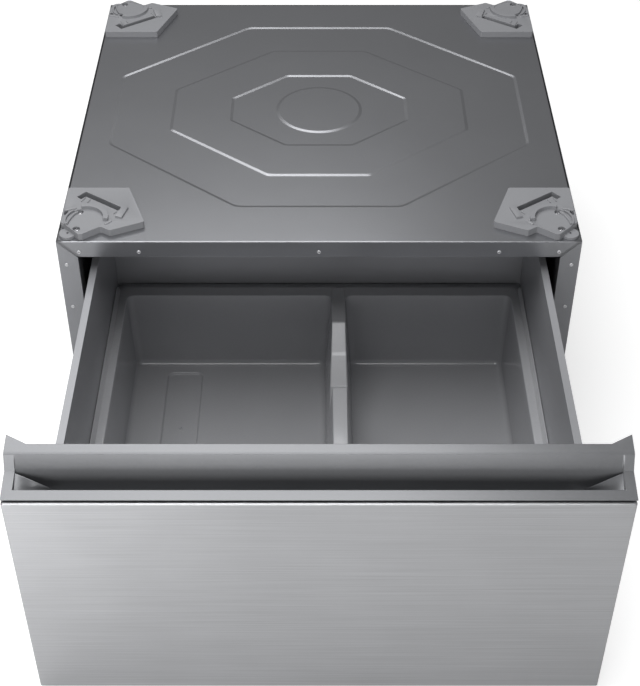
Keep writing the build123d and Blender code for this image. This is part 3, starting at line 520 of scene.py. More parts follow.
@dataclass
class TopPanel(SubAssembly):
    """Pressed top of the cabinet with its turned-down front edge and hems.

    The octagons are half length, half width and half straight edge each way, round the middle of the panel.
    The slope's bend and margin are shares of half its run, and the bend span is an angle in radians.
    """

    octagons: tuple[tuple[float, float, float, float], ...] = (
        (0.298, 0.244, 0.112, 0.093),
        (0.214, 0.170, 0.071, 0.055),
        (0.128, 0.095, 0.048, 0.030),
    )
    circle: float = 0.061
    press: float = 0.0010
    slope_run: float = 0.0043
    slope_bend: float = 0.2
    sheet: float = 0.0012
    flange: float = 0.026
    jamb: float = 0.025
    hem: float = 0.014
    fold: float = 0.0022
    corner_power: float = 150.0
    ring_points: int = 360
    bend_span: float = 0.03
    bend_points: int = 13
    slope_points: int = 5
    slope_margin: float = 1.5
    fold_points: int = 9

    def octagon_reach(self, sizes: tuple[float, float, float, float], angle: np.ndarray) -> np.ndarray:
        """Distance from the middle to an octagon along each angle, its corners a little rounded.

        Each side has an outward unit normal n and an offset h, and the straight octagon lies at the least
        of h / (n . d) over the sides. The rounded one takes the power mean of the inverse of those values.

        Args:
            sizes: half length, half width and half straight edges.
            angle: directions.

        Returns:
            One distance per angle.
        """
        half_x, half_y, edge_x, edge_y = sizes
        slant = np.array([half_y - edge_y, half_x - edge_x])
        slant /= np.linalg.norm(slant)
        slant_offset = slant @ np.array([half_x, edge_y])
        across = np.abs(np.cos(angle))
        along = np.abs(np.sin(angle))
        slanted = (slant[0] * across + slant[1] * along) / slant_offset
        inverse = np.stack((across / half_x, along / half_y, slanted))
        return np.sum(inverse**self.corner_power, axis=0) ** (-1.0 / self.corner_power)

    def angles(self, half: np.ndarray) -> np.ndarray:
        """Directions of the points on each ring: even ones, and more close to every corner.

        Args:
            half: half length and half width of the flat face.

        Returns:
            Rising angles of one turn, the corners of the face among them.
        """
        turn = np.arctan2(half[1], half[0])
        corners = np.array([turn, pi - turn, pi + turn, 2 * pi - turn])
        sizes = np.array(self.octagons)
        first = np.concatenate((np.arctan2(sizes[:, 3], sizes[:, 0]), np.arctan2(sizes[:, 1], sizes[:, 2])))
        bends = np.concatenate((first, pi - first, pi + first, 2 * pi - first))
        close = bends[:, None] + np.linspace(-self.bend_span, self.bend_span, self.bend_points)
        even = turn_angles(self.ring_points)
        return np.unique(np.concatenate((even, close.ravel(), corners)) % (2 * pi))

    def plate(self, low: np.ndarray, high: np.ndarray, top: float) -> np.ndarray:
        """Pressed face as rings round its middle.

        Each ring lies at a reach r(angle), and the rings at a pressed edge follow a straight slope of one
        press depth with soft ends: down inside the outer octagon, up inside the second, down inside the
        third and up inside the circle. The last ring is the rectangle of the panel.

        Args:
            low: lowest X and Y of the flat face.
            high: highest X and Y.
            top: height of the face.

        Returns:
            Rings by angles by three.
        """
        middle = (low + high) / 2
        half = (high - low) / 2
        angle = self.angles(half)
        across, along = np.cos(angle), np.sin(angle)
        edges = [np.full_like(angle, self.circle)]
        edges += [self.octagon_reach(sizes, angle) for sizes in reversed(self.octagons)]
        sides = half[:, None] / np.maximum(np.abs(np.stack((across, along))), TINY)
        rectangle = np.min(sides, axis=0)
        bend = 1 + np.linspace(-1.0, 1.0, self.slope_points) * self.slope_bend
        step = np.concatenate(([-self.slope_margin], -bend[::-1], bend, [self.slope_margin]))
        slope = (soft_ramp(step + 1, self.slope_bend) - soft_ramp(step - 1, self.slope_bend)) / 2
        reaches = [np.zeros_like(angle), edges[0] / 2]
        heights = [0.0, 0.0]
        level, sign = 0.0, -1.0
        for edge in edges:
            reaches += [edge + self.slope_run * share / 2 for share in step]
            heights += [level + sign * self.press * share for share in slope]
            level += sign * self.press
            sign = -sign
        reaches += [rectangle - self.slope_run, rectangle]
        heights += [level, level]
        reach = np.stack(reaches)
        height = np.broadcast_to(np.array(heights, dtype=float)[:, None], reach.shape)
        return np.stack((middle[0] + reach * across, middle[1] + reach * along, top + height), axis=-1)

    def front_edge(self, low: np.ndarray, border: np.ndarray, top: float) -> np.ndarray:
        """Fold, front flange and return, as one profile carried along the front border of the face.

        The profile runs from the flat face over the fold, down the flange and back along the return. Its
        ends lie on the mitre: on the way down, X shrinks until the flange is narrower by its own width at
        each end.

        Args:
            low: lowest X and Y of the whole panel.
            border: X of the points on the face's front border, rising.
            top: height of the face.

        Returns:
            Profile points by border points by three.
        """
        front, foot = low[1], top - self.flange
        bends = (front, top), (front, foot)
        corners = np.array([(front + self.fold, top), *bends, (front + self.jamb, foot)])
        line = rounded_path(corners, np.array([self.fold, self.fold]), self.fold_points)
        shrink = 1 + (top - line[:, 1]) / low[0]
        x = border * shrink[:, None]
        rows = np.broadcast_to(line[:, None, :], (*x.shape, 2))
        return np.concatenate((x[..., None], rows), axis=-1)

    def build(self) -> None:
        """Make the panel and let it stand for the model's own."""
        low, high = (np.array(corner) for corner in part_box("top_panel"))
        top = high[2]
        flat_low = low[:2] + np.array([0.0, self.fold])
        rings = self.plate(flat_low, high[:2], top)
        sheet = Patchwork()
        sheet.grid(rings, close_columns=True)
        in_front = np.abs(rings[-1, :, 1] - flat_low[1]) < SLIVER
        sheet.grid(self.front_edge(low[:2], np.sort(rings[-1, in_front, 0]), top))
        inset = high[0] - self.sheet
        hem_y = np.array([low[1] + self.jamb, high[1] - 2 * self.hem])
        for side in Side:
            strip = np.array([[(side.value * inset, y, z) for y in hem_y] for z in (top, top - self.hem)])
            sheet.grid(strip[:, ::side.value])
        end = high[0] - self.hem
        back = np.array([[(x, high[1], z) for x in (end, -end)] for z in (top, top - self.hem)])
        sheet.grid(back)
        piece = sheet.build("pressed_top", closed=False)
        thicken(piece, self.sheet)
        self.settle(piece, "grey_paint", "cabinet", "top_panel")


@dataclass
class Divider:
    """Top line of the wall between the two tubs of the bin, which dips in its middle.

    The stretches are the run and the fall of its slopes, from the back of the bin's mouth towards the front.
    The reach of the points round a bend or the step is in shares of the bend and of the step's run.
    """

    back_y: float
    shelf: float = 0.059
    stretches: tuple[tuple[float, float], ...] = (
        (0.0025, 0.0016),
        (0.0322, 0.0261),
        (0.0036, 0.0022),
        (0.0344, 0.0279),
        (0.0633, 0.0002),
    )
    step_run: float = 0.0030
    step_reach: float = 0.7
    step_points: int = 9
    bend: float = 0.0006
    bend_reach: float = 1.6
    bend_points: int = 7

    def __post_init__(self) -> None:
        """Work out where each stretch starts, how much the slope turns there and where the step lies."""
        runs, falls = np.array(self.stretches).T
        self.starts = self.back_y - self.shelf - np.concatenate(([0.0], np.cumsum(runs)[:-1]))
        self.turns = np.diff(falls / runs, prepend=0.0)
        self.step_y = self.starts[-1] - runs[-1]

    def marks(self) -> np.ndarray:
        """Places of the points that the line needs round its bends.

        Returns:
            Y from front to back.
        """
        near = np.linspace(-self.bend_reach, self.bend_reach, self.bend_points) * self.bend
        close = np.linspace(-self.step_reach, self.step_reach, self.step_points) * self.step_run
        bends = (self.starts[::-1, None] + near).ravel()
        return np.concatenate((self.step_y + close, bends))

    def fall(self, y: np.ndarray) -> np.ndarray:
        """How far the line lies below the flange: slopes one after the other, then a step back up.

        At the start of each stretch a soft ramp adds the change of slope. The step multiplies the sum by an
        ease from 0 to 1.

        Args:
            y: places along the line.

        Returns:
            One fall per place.
        """
        ramps = soft_ramp(self.starts - np.asarray(y)[..., None], self.bend) @ self.turns
        return ramps * smooth((y - self.step_y) / self.step_run + 0.5)


@dataclass
class StorageBin(SubAssembly):
    """Moulded bin: two tubs side by side that share a flange and a dipped divider.

    Drafts and the divider's spread are in degrees. The support is how close a loop stands beside a bend.
    """

    wall: float = 0.003
    side_flange: float = 0.017
    back_flange: float = 0.0271
    back_growth: float = 0.0045
    front_flange: float = 0.020
    corner: float = 0.010
    draft: float = 2.0
    divider_draft: float = 4.2
    floor_round: float = 0.0085
    mouth_round: float = 0.0018
    divider_round: float = 0.0012
    divider_middle: float = 0.028
    divider_width: float = 0.020
    divider_spread: float = 2.4
    strip_rise: float = 0.0010
    strip_back: float = 0.017
    upstand: float = 0.005
    upstand_width: float = 0.0066
    tray_inset: float = 0.047
    tray_width: float = 0.054
    tray_setback: float = 0.020
    tray_depth: float = 0.0032
    tray_round: float = 0.010
    tray_edge: float = 0.0030
    pip_radius: float = 0.0026
    pip_rise: float = 0.0022
    pip_setback: float = 0.116
    support: float = 0.0010
    cross_marks: int = 8
    long_marks: int = 20
    mouth_points: int = 7
    wall_points: int = 10
    foot_points: int = 9
    foot_taper: float = 0.8
    tray_points: int = 7
    strip_edge: float = 0.0006
    strip_round: float = 0.0012
    strip_front: float = 0.008
    strip_nose: float = 0.007
    strip_points: int = 30
    nose_points: int = 9
    arch_points: int = 6
    upstand_ends: float = 0.006
    upstand_points: int = 60
    upstand_round_points: int = 5
    pip_rings: int = 6
    pip_points: int = 16

    def __post_init__(self) -> None:
        """Take the outer sizes from the model's own bin, its back flange grown towards the drawer's back."""
        self.low, self.high = (np.array(corner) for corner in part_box("storage_bin"))
        self.high[1] += self.back_growth
        self.top = self.high[2] - self.upstand
        self.floor = self.low[2] + self.wall
        self.depth = self.top - self.floor
        self.mouth_low = self.low[:2] + np.array([self.side_flange, self.front_flange])
        self.mouth_high = self.high[:2] - np.array([self.side_flange, self.back_flange])
        self.divider = Divider(self.mouth_high[1])

    def mouth(self, side: Side) -> np.ndarray:
        """Mouth of one tub.

        Args:
            side: which tub.

        Returns:
            Low X, low Y, high X and high Y.
        """
        box = np.concatenate((self.mouth_low, self.mouth_high))
        if side is Side.LEFT:
            box[2] = self.divider_middle - self.divider_width / 2
        else:
            box[0] = self.divider_middle + self.divider_width / 2
        return box

    def by_wall(self, side: Side, outer: float, divider: float) -> np.ndarray:
        """One value for each wall of a tub.

        Args:
            side: which tub.
            outer: value of the outer walls.
            divider: value of the divider's wall.

        Returns:
            Four values in the order of the tub's box.
        """
        values = np.full(4, outer)
        values[2 if side is Side.LEFT else 0] = divider
        return values

    def marks(self, mouth: np.ndarray) -> tuple[np.ndarray, np.ndarray]:
        """Points on the sides of a tub's loops, with more where the divider bends.

        Args:
            mouth: box of the tub's mouth.

        Returns:
            X on the sides along X and Y on the sides along Y.
        """
        along_x = np.linspace(mouth[0] + self.corner, mouth[2] - self.corner, self.cross_marks)
        even = np.linspace(mouth[1] + self.corner, mouth[3] - self.corner, self.long_marks)
        return along_x, self.with_bends(even)

    def with_bends(self, even: np.ndarray) -> np.ndarray:
        """Even places along Y with the divider's bends among them.

        Args:
            even: even places, of which those close to a bend are left out.

        Returns:
            Rising places.
        """
        fixed = self.divider.marks()
        apart = np.min(np.abs(even[:, None] - fixed), axis=1) > self.divider.bend
        return np.sort(np.concatenate((even[apart], fixed)))

    def flange_stages(self, side: Side) -> list[Stage]:
        """Loops from the outer edge of the flange to the start of the mouth.

        Args:
            side: which tub.

        Returns:
            Box, corner radii and height of each loop.
        """
        mouth = self.mouth(side)
        rim = mouth + OUTWARD * self.by_wall(side, self.mouth_round, self.divider_round)
        cell = np.concatenate((self.low[:2], self.high[:2]))
        cell[2 if side is Side.LEFT else 0] = self.divider_middle
        outer = np.array([0.0, 1.0, 1.0, 0.0]) if side is Side.LEFT else np.array([1.0, 0.0, 0.0, 1.0])
        radii = np.full(4, self.corner + self.mouth_round)
        return [
            (cell, outer * self.corner, self.top),
            ((cell + rim) / 2, (outer * self.corner + radii) / 2, self.top),
            (rim + OUTWARD * self.support / 2, radii, self.top),
            (rim, radii, self.top),
        ]

    def wall_stages(self, side: Side) -> list[Stage]:
        """Loops from the rounded mouth down the leaning walls and round their feet.

        Args:
            side: which tub.

        Returns:
            Box, corner radii and height of each loop.
        """
        mouth = self.mouth(side)
        rounding = self.by_wall(side, self.mouth_round, self.divider_round)
        lean = self.by_wall(side, tan(radians(self.draft)), tan(radians(self.divider_draft)))
        ones = np.ones(4)
        stages = []
        for bend in np.linspace(0.0, pi / 2, self.mouth_points)[1:]:
            over = 1 - np.sin(bend)
            drop = self.mouth_round * (1 - np.cos(bend))
            box = mouth + OUTWARD * (rounding * over - lean * drop)
            stages.append((box, ones * (self.corner + self.mouth_round * over), self.top - drop))
        ends = self.top - self.mouth_round, self.floor + self.floor_round
        for height in np.linspace(*ends, self.wall_points)[1:]:
            stages.append((mouth - OUTWARD * lean * (self.top - height), ones * self.corner, height))
        for bend in np.linspace(0.0, pi / 2, self.foot_points)[1:]:
            inset = self.floor_round * (1 - np.cos(bend))
            height = self.floor + self.floor_round * (1 - np.sin(bend))
            box = mouth - OUTWARD * (lean * (self.top - height) + inset)
            stages.append((box, ones * (self.corner - inset * self.foot_taper), height))
        return stages

    def floor_stages(self, side: Side, flat: np.ndarray, radii: np.ndarray) -> list[Stage]:
        """Loops of the floor, on the left round the shallow tray and on the right straight to the middle.

        Args:
            side: which tub.
            flat: box of the last loop of the wall's foot.
            radii: its corner radii.

        Returns:
            Box, corner radii and height of each loop. The last loop has no width.
        """
        stages = [(flat - OUTWARD * self.support, radii - self.support, self.floor)]
        level = self.floor
        inner, round_inner = stages[0][:2]
        if side is Side.LEFT:
            left = flat[0] - self.floor_round + self.tray_inset
            setback = self.tray_setback - self.floor_round
            tray = np.array([left, flat[1] + setback, left + self.tray_width, flat[3] - setback])
            tray_radii = np.full(4, self.tray_round)
            edge = np.linspace(0.0, 1.0, self.tray_points)
            stages.append((tray + OUTWARD * self.support, tray_radii + self.support, level))
            for share, sunk in zip(edge, smooth(edge)):
                inset = self.tray_edge * share
                stages.append((tray - OUTWARD * inset, tray_radii - inset, level - self.tray_depth * sunk))
            level -= self.tray_depth
            inner = tray - OUTWARD * (self.tray_edge + self.support)
            round_inner = tray_radii - self.tray_edge - self.support
            stages.append((inner, round_inner, level))
        half = min(inner[2] - inner[0], inner[3] - inner[1]) / 2
        for share in (0.5, 1.0):
            stages.append((inner - OUTWARD * half * share, round_inner * (1 - share), level))
        return stages

    def rings(self, side: Side) -> np.ndarray:
        """Loops of one tub from the edge of its share of the flange down to the middle of its floor.

        Every loop is a rounded rectangle with its own box, radii and height. Down the walls the boxes shrink
        with the draft, and the mouth and the feet of the walls are quarter turns in height and inset. On the
        divider's half the heights shrink towards the floor in the ratio that the divider falls, and the
        divider gets wider where it dips. The flange's outer edge doesn't follow that, and the next loop does
        by half.

        Args:
            side: which tub.

        Returns:
            Loops by points by three.
        """
        mouth = self.mouth(side)
        stages = self.flange_stages(side) + self.wall_stages(side)
        stages += self.floor_stages(side, *stages[-1][:2])
        marks = self.marks(mouth)
        loops = np.stack([rounded_loop(box, radii, marks) for box, radii, _ in stages])
        level = np.array([height for _, _, height in stages])[:, None]
        nearer = (loops[..., 0] - (mouth[0] + mouth[2]) / 2) * side.value < 0
        fall = self.divider.fall(loops[..., 1]) * nearer
        drop = fall * np.maximum(level - self.floor, 0.0) / self.depth
        follow = np.ones((len(stages), 1))
        follow[:2, 0] = (0.0, 0.5)
        loops[..., 0] += side.value * tan(radians(self.divider_spread)) * drop * follow
        return np.concatenate((loops, (level - drop)[..., None]), axis=-1)

    def strip(self) -> np.ndarray:
        """Flat strip along the top of the divider, rounded off over the back flange.

        A low arch in X and Z is carried along Y at the divider's height, and its width closes to nothing at
        the back in a rounded nose.

        Returns:
            Sections by points by three.
        """
        nose_y = self.high[1] - self.back_flange + self.strip_back - self.strip_nose
        end = np.linspace(0.0, pi / 2, self.nose_points)[1:]
        body = self.with_bends(np.linspace(self.low[1] + self.strip_front, nose_y, self.strip_points))
        y = np.concatenate((body, nose_y + self.strip_nose * np.sin(end)))
        width = np.concatenate((np.ones(len(body)), np.sqrt(np.cos(end))))
        corners = np.array([(-1.0, -1.0), (-1.0, 1.0), (1.0, 1.0), (1.0, -1.0)])
        arch = corners * np.array([self.divider_width / 2 - self.strip_edge, self.strip_rise])
        arch = rounded_path(arch, np.full(2, self.strip_round), self.arch_points)
        fall = self.divider.fall(y)
        spread = 1 + fall * tan(radians(self.divider_spread)) / (self.divider_width / 2)
        x = self.divider_middle + arch[None, :, 0] * (width * spread)[:, None]
        z = (self.top - fall)[:, None] + arch[None, :, 1]
        return np.stack((x, np.broadcast_to(y[:, None], x.shape), z), axis=-1)

    def upstands(self) -> list[np.ndarray]:
        """Slanted strips along the two long sides of the flange.

        Each is a closed profile, a slope from the flat flange up to the drawer's wall, carried along Y. It
        sinks into the flange at both ends, along an ease over part of the bin's corner.

        Returns:
            Sections by points by three, for each strip.
        """
        ends = self.upstand_ends
        y = np.linspace(self.low[1] + ends, self.high[1] - ends, self.upstand_points)
        sunk = np.full_like(y, -self.support)
        rise = sunk + (self.upstand + self.support) * smooth(np.minimum(y - y[0], y[-1] - y) / ends)
        strips = []
        for side in Side:
            outer = side.value * self.high[0]
            inner = outer - side.value * self.upstand_width
            line = [(inner, sunk), (outer - side.value * self.support, rise), (outer, rise), (outer, sunk)]
            edges = [np.stack((np.full_like(y, x), y, self.top + z), axis=-1) for x, z in line]
            bends = np.full(len(line) - 2, self.support)
            strips.append(rounded_path(np.stack(edges, axis=1), bends, self.upstand_round_points))
        return strips

    def pip(self) -> np.ndarray:
        """Moulding pip in the tray: a dome, height rise (1 - r^2) at the share r of its radius.

        Returns:
            Rings by points by three.
        """
        share = np.linspace(1.0, 0.0, self.pip_rings)[:, None]
        turn = turn_angles(self.pip_points)
        mouth = self.mouth(Side.LEFT)
        lean = tan(radians(self.draft)) * self.depth
        middle_x = mouth[0] + lean + self.tray_inset + self.tray_width / 2
        middle_y = mouth[3] - lean - self.pip_setback - self.tray_setback
        x = middle_x + self.pip_radius * share * np.cos(turn)
        y = middle_y + self.pip_radius * share * np.sin(turn)
        z = self.floor - self.tray_depth + self.pip_rise * (1 - share**2) + np.zeros_like(x)
        return np.stack((x, y, z), axis=-1)

    def build(self) -> None:
        """Make the bin and let it stand for the model's own."""
        sheet = Patchwork()
        for side in Side:
            sheet.grid(self.rings(side)[:, ::-1], close_columns=True)
        piece = sheet.build("moulded_bin", closed=False)
        thicken(piece, self.wall)
        self.settle(piece, "bin_plastic", "drawer", "storage_bin")
        details = Patchwork()
        details.grid(self.pip(), close_columns=True)
        for strip in [self.strip(), *self.upstands()]:
            details.grid(strip, close_columns=True)
            details.cap(strip[0])
            details.cap(strip[-1])
        rims = details.build("bin_strips")
        self.settle(rims, "bin_plastic", "drawer")


@dataclass
class HandleTrim(SubAssembly):
    """Moulded grip along the top of the drawer front: rim, finger trough, lip and raised ears."""

    rim_rise: float = tan(radians(12.0))
    rim_depth: float = 0.013
    rim_lip: float = 0.0006
    undercut: float = 0.006
    trough_width: float = 0.0225
    trough_depth: float = 0.034
    wall: float = 0.003
    lip_lean: float = 0.0085
    lip_height: float = 0.0185
    lip_depth: float = 0.013
    ear_width: float = 0.0235
    rim_end: float = 0.0115
    facet_length: float = 0.049
    facet_fall: float = 0.016
    facet_edge: float = 0.0030
    crest_drop: float = 0.0015
    foot_drop: float = 0.0045
    lip_chamfer: float = 0.0026
    chamfer_rise: float = tan(radians(30.0))
    low_drop: float = 0.0017
    facet_ease: float = 0.5
    undercut_bend: float = 0.0003
    rim_low_bend: float = 0.0002
    rim_bend: float = 0.0004
    facet_bend: float = 0.0012
    crest_bend: float = 0.0018
    trough_front_bend: float = 0.008
    trough_back_bend: float = 0.016
    foot_bend: float = 0.012
    lip_bend: float = 0.0004
    lip_top_bend: float = 0.0006
    back_bend: float = 0.0010
    under_bend: float = 0.0005
    deep_bend: float = 0.001
    bend_points: int = 7
    middle_stations: int = 12
    middle_gap: float = 0.001
    facet_stations: int = 30
    facet_gap: float = 0.0004
    ear_stations: int = 10
    end_gaps: tuple[float, float] = (0.0006, 0.0002)

    def __post_init__(self) -> None:
        """Take the place of the grip from the model's own."""
        self.low, self.high = (np.array(corner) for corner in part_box("handle_trim"))
        self.half = self.high[0]
        self.rim_y = self.low[1]
        self.trough_floor = self.low[2] + self.wall
        self.rim_z = self.trough_floor + self.trough_depth
        self.trough_y = self.rim_y + self.rim_depth
        self.foot_y = self.trough_y + self.trough_width
        self.lip_y = self.foot_y + self.lip_lean
        self.lip_z = self.rim_level(self.foot_y) + self.lip_height
        self.end_x = self.half - self.rim_end

    def rim_level(self, y: np.ndarray | float) -> np.ndarray | float:
        """Height of the sloping rim at a given Y."""
        return self.rim_z + (y - self.rim_y) * self.rim_rise

    def stations(self) -> np.ndarray:
        """Places of the sections, close together where the ends of the trough and the ears change shape.

        Returns:
            Rising X.
        """
        inner = self.end_x - self.facet_length
        middle = np.linspace(0.0, inner - self.middle_gap, self.middle_stations)
        facet = np.linspace(inner, self.end_x - self.facet_gap, self.facet_stations)
        ear = np.linspace(self.half - self.ear_width, self.half, self.ear_stations)
        close = np.array([self.end_x, *(self.half - gap for gap in self.end_gaps)])
        right = np.unique(np.concatenate((middle, facet, ear, close)))
        return np.concatenate((-right[:0:-1], right))

    def sections(self, x: np.ndarray) -> np.ndarray:
        """Outline of the grip at each X, as a rounded closed line in Y and Z.

        Between its ends the trough is full width. In the stretch of a facet its front wall goes straight
        over to the foot of the lip, and the facet leans from the top of that wall down behind the rim, less
        deep towards the end. Past the trough the rim is whole. The lip's back edge runs out to the ears at
        both ends. Each point of the outline has its own reach of rounding.

        Args:
            x: places of the sections.

        Returns:
            Sections by points by three.
        """
        reach = np.abs(x)
        inner = self.end_x - self.facet_length
        share = np.clip((reach - inner) / self.facet_length, 0.0, 1.0)
        past = reach >= self.end_x
        front = np.where(past, self.foot_y, self.trough_y + self.trough_width * share)
        sunk = np.where(past, 0.0, self.facet_fall * (1 - self.facet_ease * share**2))
        facet_y = self.trough_y + np.minimum(self.facet_edge, self.trough_width * share / 2) * ~past
        facet_front = self.rim_level(facet_y) - sunk
        crest = self.rim_level(front) - self.crest_drop * ~past
        floor = np.where(past, self.rim_level(self.foot_y), self.trough_floor)
        ear = np.clip((reach - self.half + self.ear_width) / self.ear_width, 0.0, 1.0)
        lip_back = self.lip_y + self.lip_depth
        back = lip_back + (self.high[1] - lip_back) * ear
        back_z = self.lip_z + (back - self.lip_y) * self.rim_rise
        foot_z = self.rim_level(self.foot_y) - self.foot_drop * ~past
        under = self.rim_z - self.low_drop
        deep = self.trough_floor - self.wall
        edge_y = self.rim_y + self.undercut
        ones = np.ones_like(x)
        chamfer = self.lip_chamfer
        line = [
            (edge_y, under, 0.0),
            (edge_y, self.rim_level(edge_y) - self.rim_lip, self.undercut_bend),
            (self.rim_y, self.rim_z - self.rim_lip, self.rim_low_bend),
            (self.rim_y, self.rim_z, self.rim_bend),
            (self.trough_y, self.rim_level(self.trough_y), self.facet_bend),
            (facet_y, facet_front, self.facet_bend),
            (front, crest, self.crest_bend),
            (front, floor, self.trough_front_bend),
            (self.foot_y, floor, self.trough_back_bend),
            (self.foot_y, foot_z, self.foot_bend),
            (self.lip_y, self.lip_z - chamfer * (self.chamfer_rise - self.rim_rise), self.lip_bend),
            (self.lip_y + chamfer, self.lip_z + chamfer * self.rim_rise, self.lip_top_bend),
            (back, back_z, self.back_bend),
            (back, under, self.under_bend),
            (self.foot_y + self.wall, under, self.under_bend),
            (self.foot_y + self.wall, deep, self.deep_bend),
            (self.trough_y - self.wall, deep, self.deep_bend),
            (self.trough_y - self.wall, under, self.under_bend),
            (edge_y, under, 0.0),
        ]
        corners = np.stack([np.stack((y * ones, z * ones), axis=-1) for y, z, _ in line], axis=1)
        bends = np.array([bend for _, _, bend in line[1:-1]])
        outline = rounded_path(corners, bends, self.bend_points)
        width = np.broadcast_to(x[:, None, None], (*outline.shape[:2], 1))
        return np.concatenate((width, outline), axis=-1)

    def build(self) -> None:
        """Make the grip and let it stand for the model's own."""
        sections = self.sections(self.stations())
        skin = Patchwork()
        skin.grid(sections)
        skin.cap(sections[0])
        skin.cap(sections[-1, ::-1])
        piece = skin.build("grip")
        self.settle(piece, "trim_plastic", "drawer", "handle_trim")


@dataclass
class FrontPanel(SubAssembly):
    """Brushed skin of the drawer front, folded back at its edges."""

    fold: float = 0.0024
    corner: float = 0.0024
    sheet: float = 0.0008
    top_return: float = 0.011
    top_drop: float = 0.0020
    face_marks: tuple[int, int] = (40, 20)
    fold_points: int = 8

    def build(self) -> None:
        """Make the skin from loops: out over the face, round the fold and back on the edges."""
        low, high = (np.array(corner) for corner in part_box("front_panel"))
        high[2] -= self.top_drop
        box = np.array([low[0], low[2], high[0], high[2]])
        marks = tuple(
            np.linspace(low[axis], high[axis], count)[1:-1] for axis, count in zip((0, 2), self.face_marks)
        )
        half = (high[2] - low[2]) / 2
        turn = np.linspace(0.0, pi / 2, self.fold_points)
        insets = np.concatenate(([half, half / 2, self.fold * 2], self.fold * (1 - np.sin(turn)), [0.0]))
        depths = np.concatenate(([0.0, 0.0, 0.0], self.fold * (1 - np.cos(turn)), [high[1] - low[1]]))
        radii = np.maximum(self.corner - insets, 0.0)
        loops = np.stack([
            rounded_loop(box - OUTWARD * inset, np.full(4, radius), marks)
            for inset, radius in zip(insets, radii)
        ])
        depth = depths[:, None] * np.ones(loops.shape[1])
        on_top = loops[-1, :, 1] > high[2] - self.corner / 2
        depth[-1] = np.where(on_top, self.top_return, depth[-1])
        skin = Patchwork()
        skin.grid(np.stack((loops[..., 0], low[1] + depth, loops[..., 1]), axis=-1), close_columns=True)
        piece = skin.build("brushed_front", closed=False)
        thicken(piece, self.sheet)
        self.settle(piece, "stainless", "drawer", "front_panel")


@dataclass
class Rivets(SubAssembly):
    """Hollow rivets along the front edges of the cabinet.

    The profile of a head is given by shares of its radius and height, and within by shares of the hollow's
    radius and of the height.
    """

    radius: float = 0.0026
    height: float = 0.0012
    hollow: float = 0.0012
    top_drop: float = 0.0168
    top_insets: tuple[float, ...] = (0.0285, 0.107)
    side_inset: float = 0.010
    side_drop: float = 0.038
    side_rise: float = 0.019
    side_count: int = 5
    outer: tuple[tuple[float, float], ...] = ((1.0, 0.0), (1.0, 0.45), (0.8, 0.95))
    inner: tuple[tuple[float, float], ...] = ((1.35, 1.0), (1.0, 0.85), (0.9, -0.4), (0.0, -0.4))
    turn_points: int = 24

    def places(self) -> np.ndarray:
        """Places of the rivets on the cabinet's front plane.

        Returns:
            Rivets by three.
        """
        low = np.array(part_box("left_side_panel")[0])
        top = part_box("top_panel")[1][2]
        half = -low[0]
        heights = np.linspace(low[2] + self.side_rise, top - self.side_drop, self.side_count)
        spread = [0.0] + [side.value * (half - inset) for side in Side for inset in self.top_insets]
        row = [(x, low[1], top - self.top_drop) for x in spread]
        columns = [(side.value * (half - self.side_inset), low[1], z) for side in Side for z in heights]
        return np.array(row + columns)

    def build(self) -> None:
        """Make all heads: a profile over the rim and into the hollow, turned once round, at every place."""
        rim = np.array(self.outer) * np.array([self.radius, self.height])
        pit = np.array(self.inner) * np.array([self.hollow, self.height])
        profile = np.concatenate((rim, pit))
        turn = turn_angles(self.turn_points)
        ring = np.stack((np.cos(turn), np.sin(turn)), axis=-1)
        local = np.stack((
            profile[:, None, 0] * ring[None, :, 0],
            -profile[:, None, 1] * np.ones(len(turn)),
            profile[:, None, 0] * ring[None, :, 1],
        ), axis=-1)
        heads = Patchwork()
        for place in self.places():
            heads.grid(local + place, close_columns=True)
        piece = heads.build("hollow_rivets")
        self.settle(piece, "zinc_steel", "cabinet", "front_rivets", finish="rivet_metal")


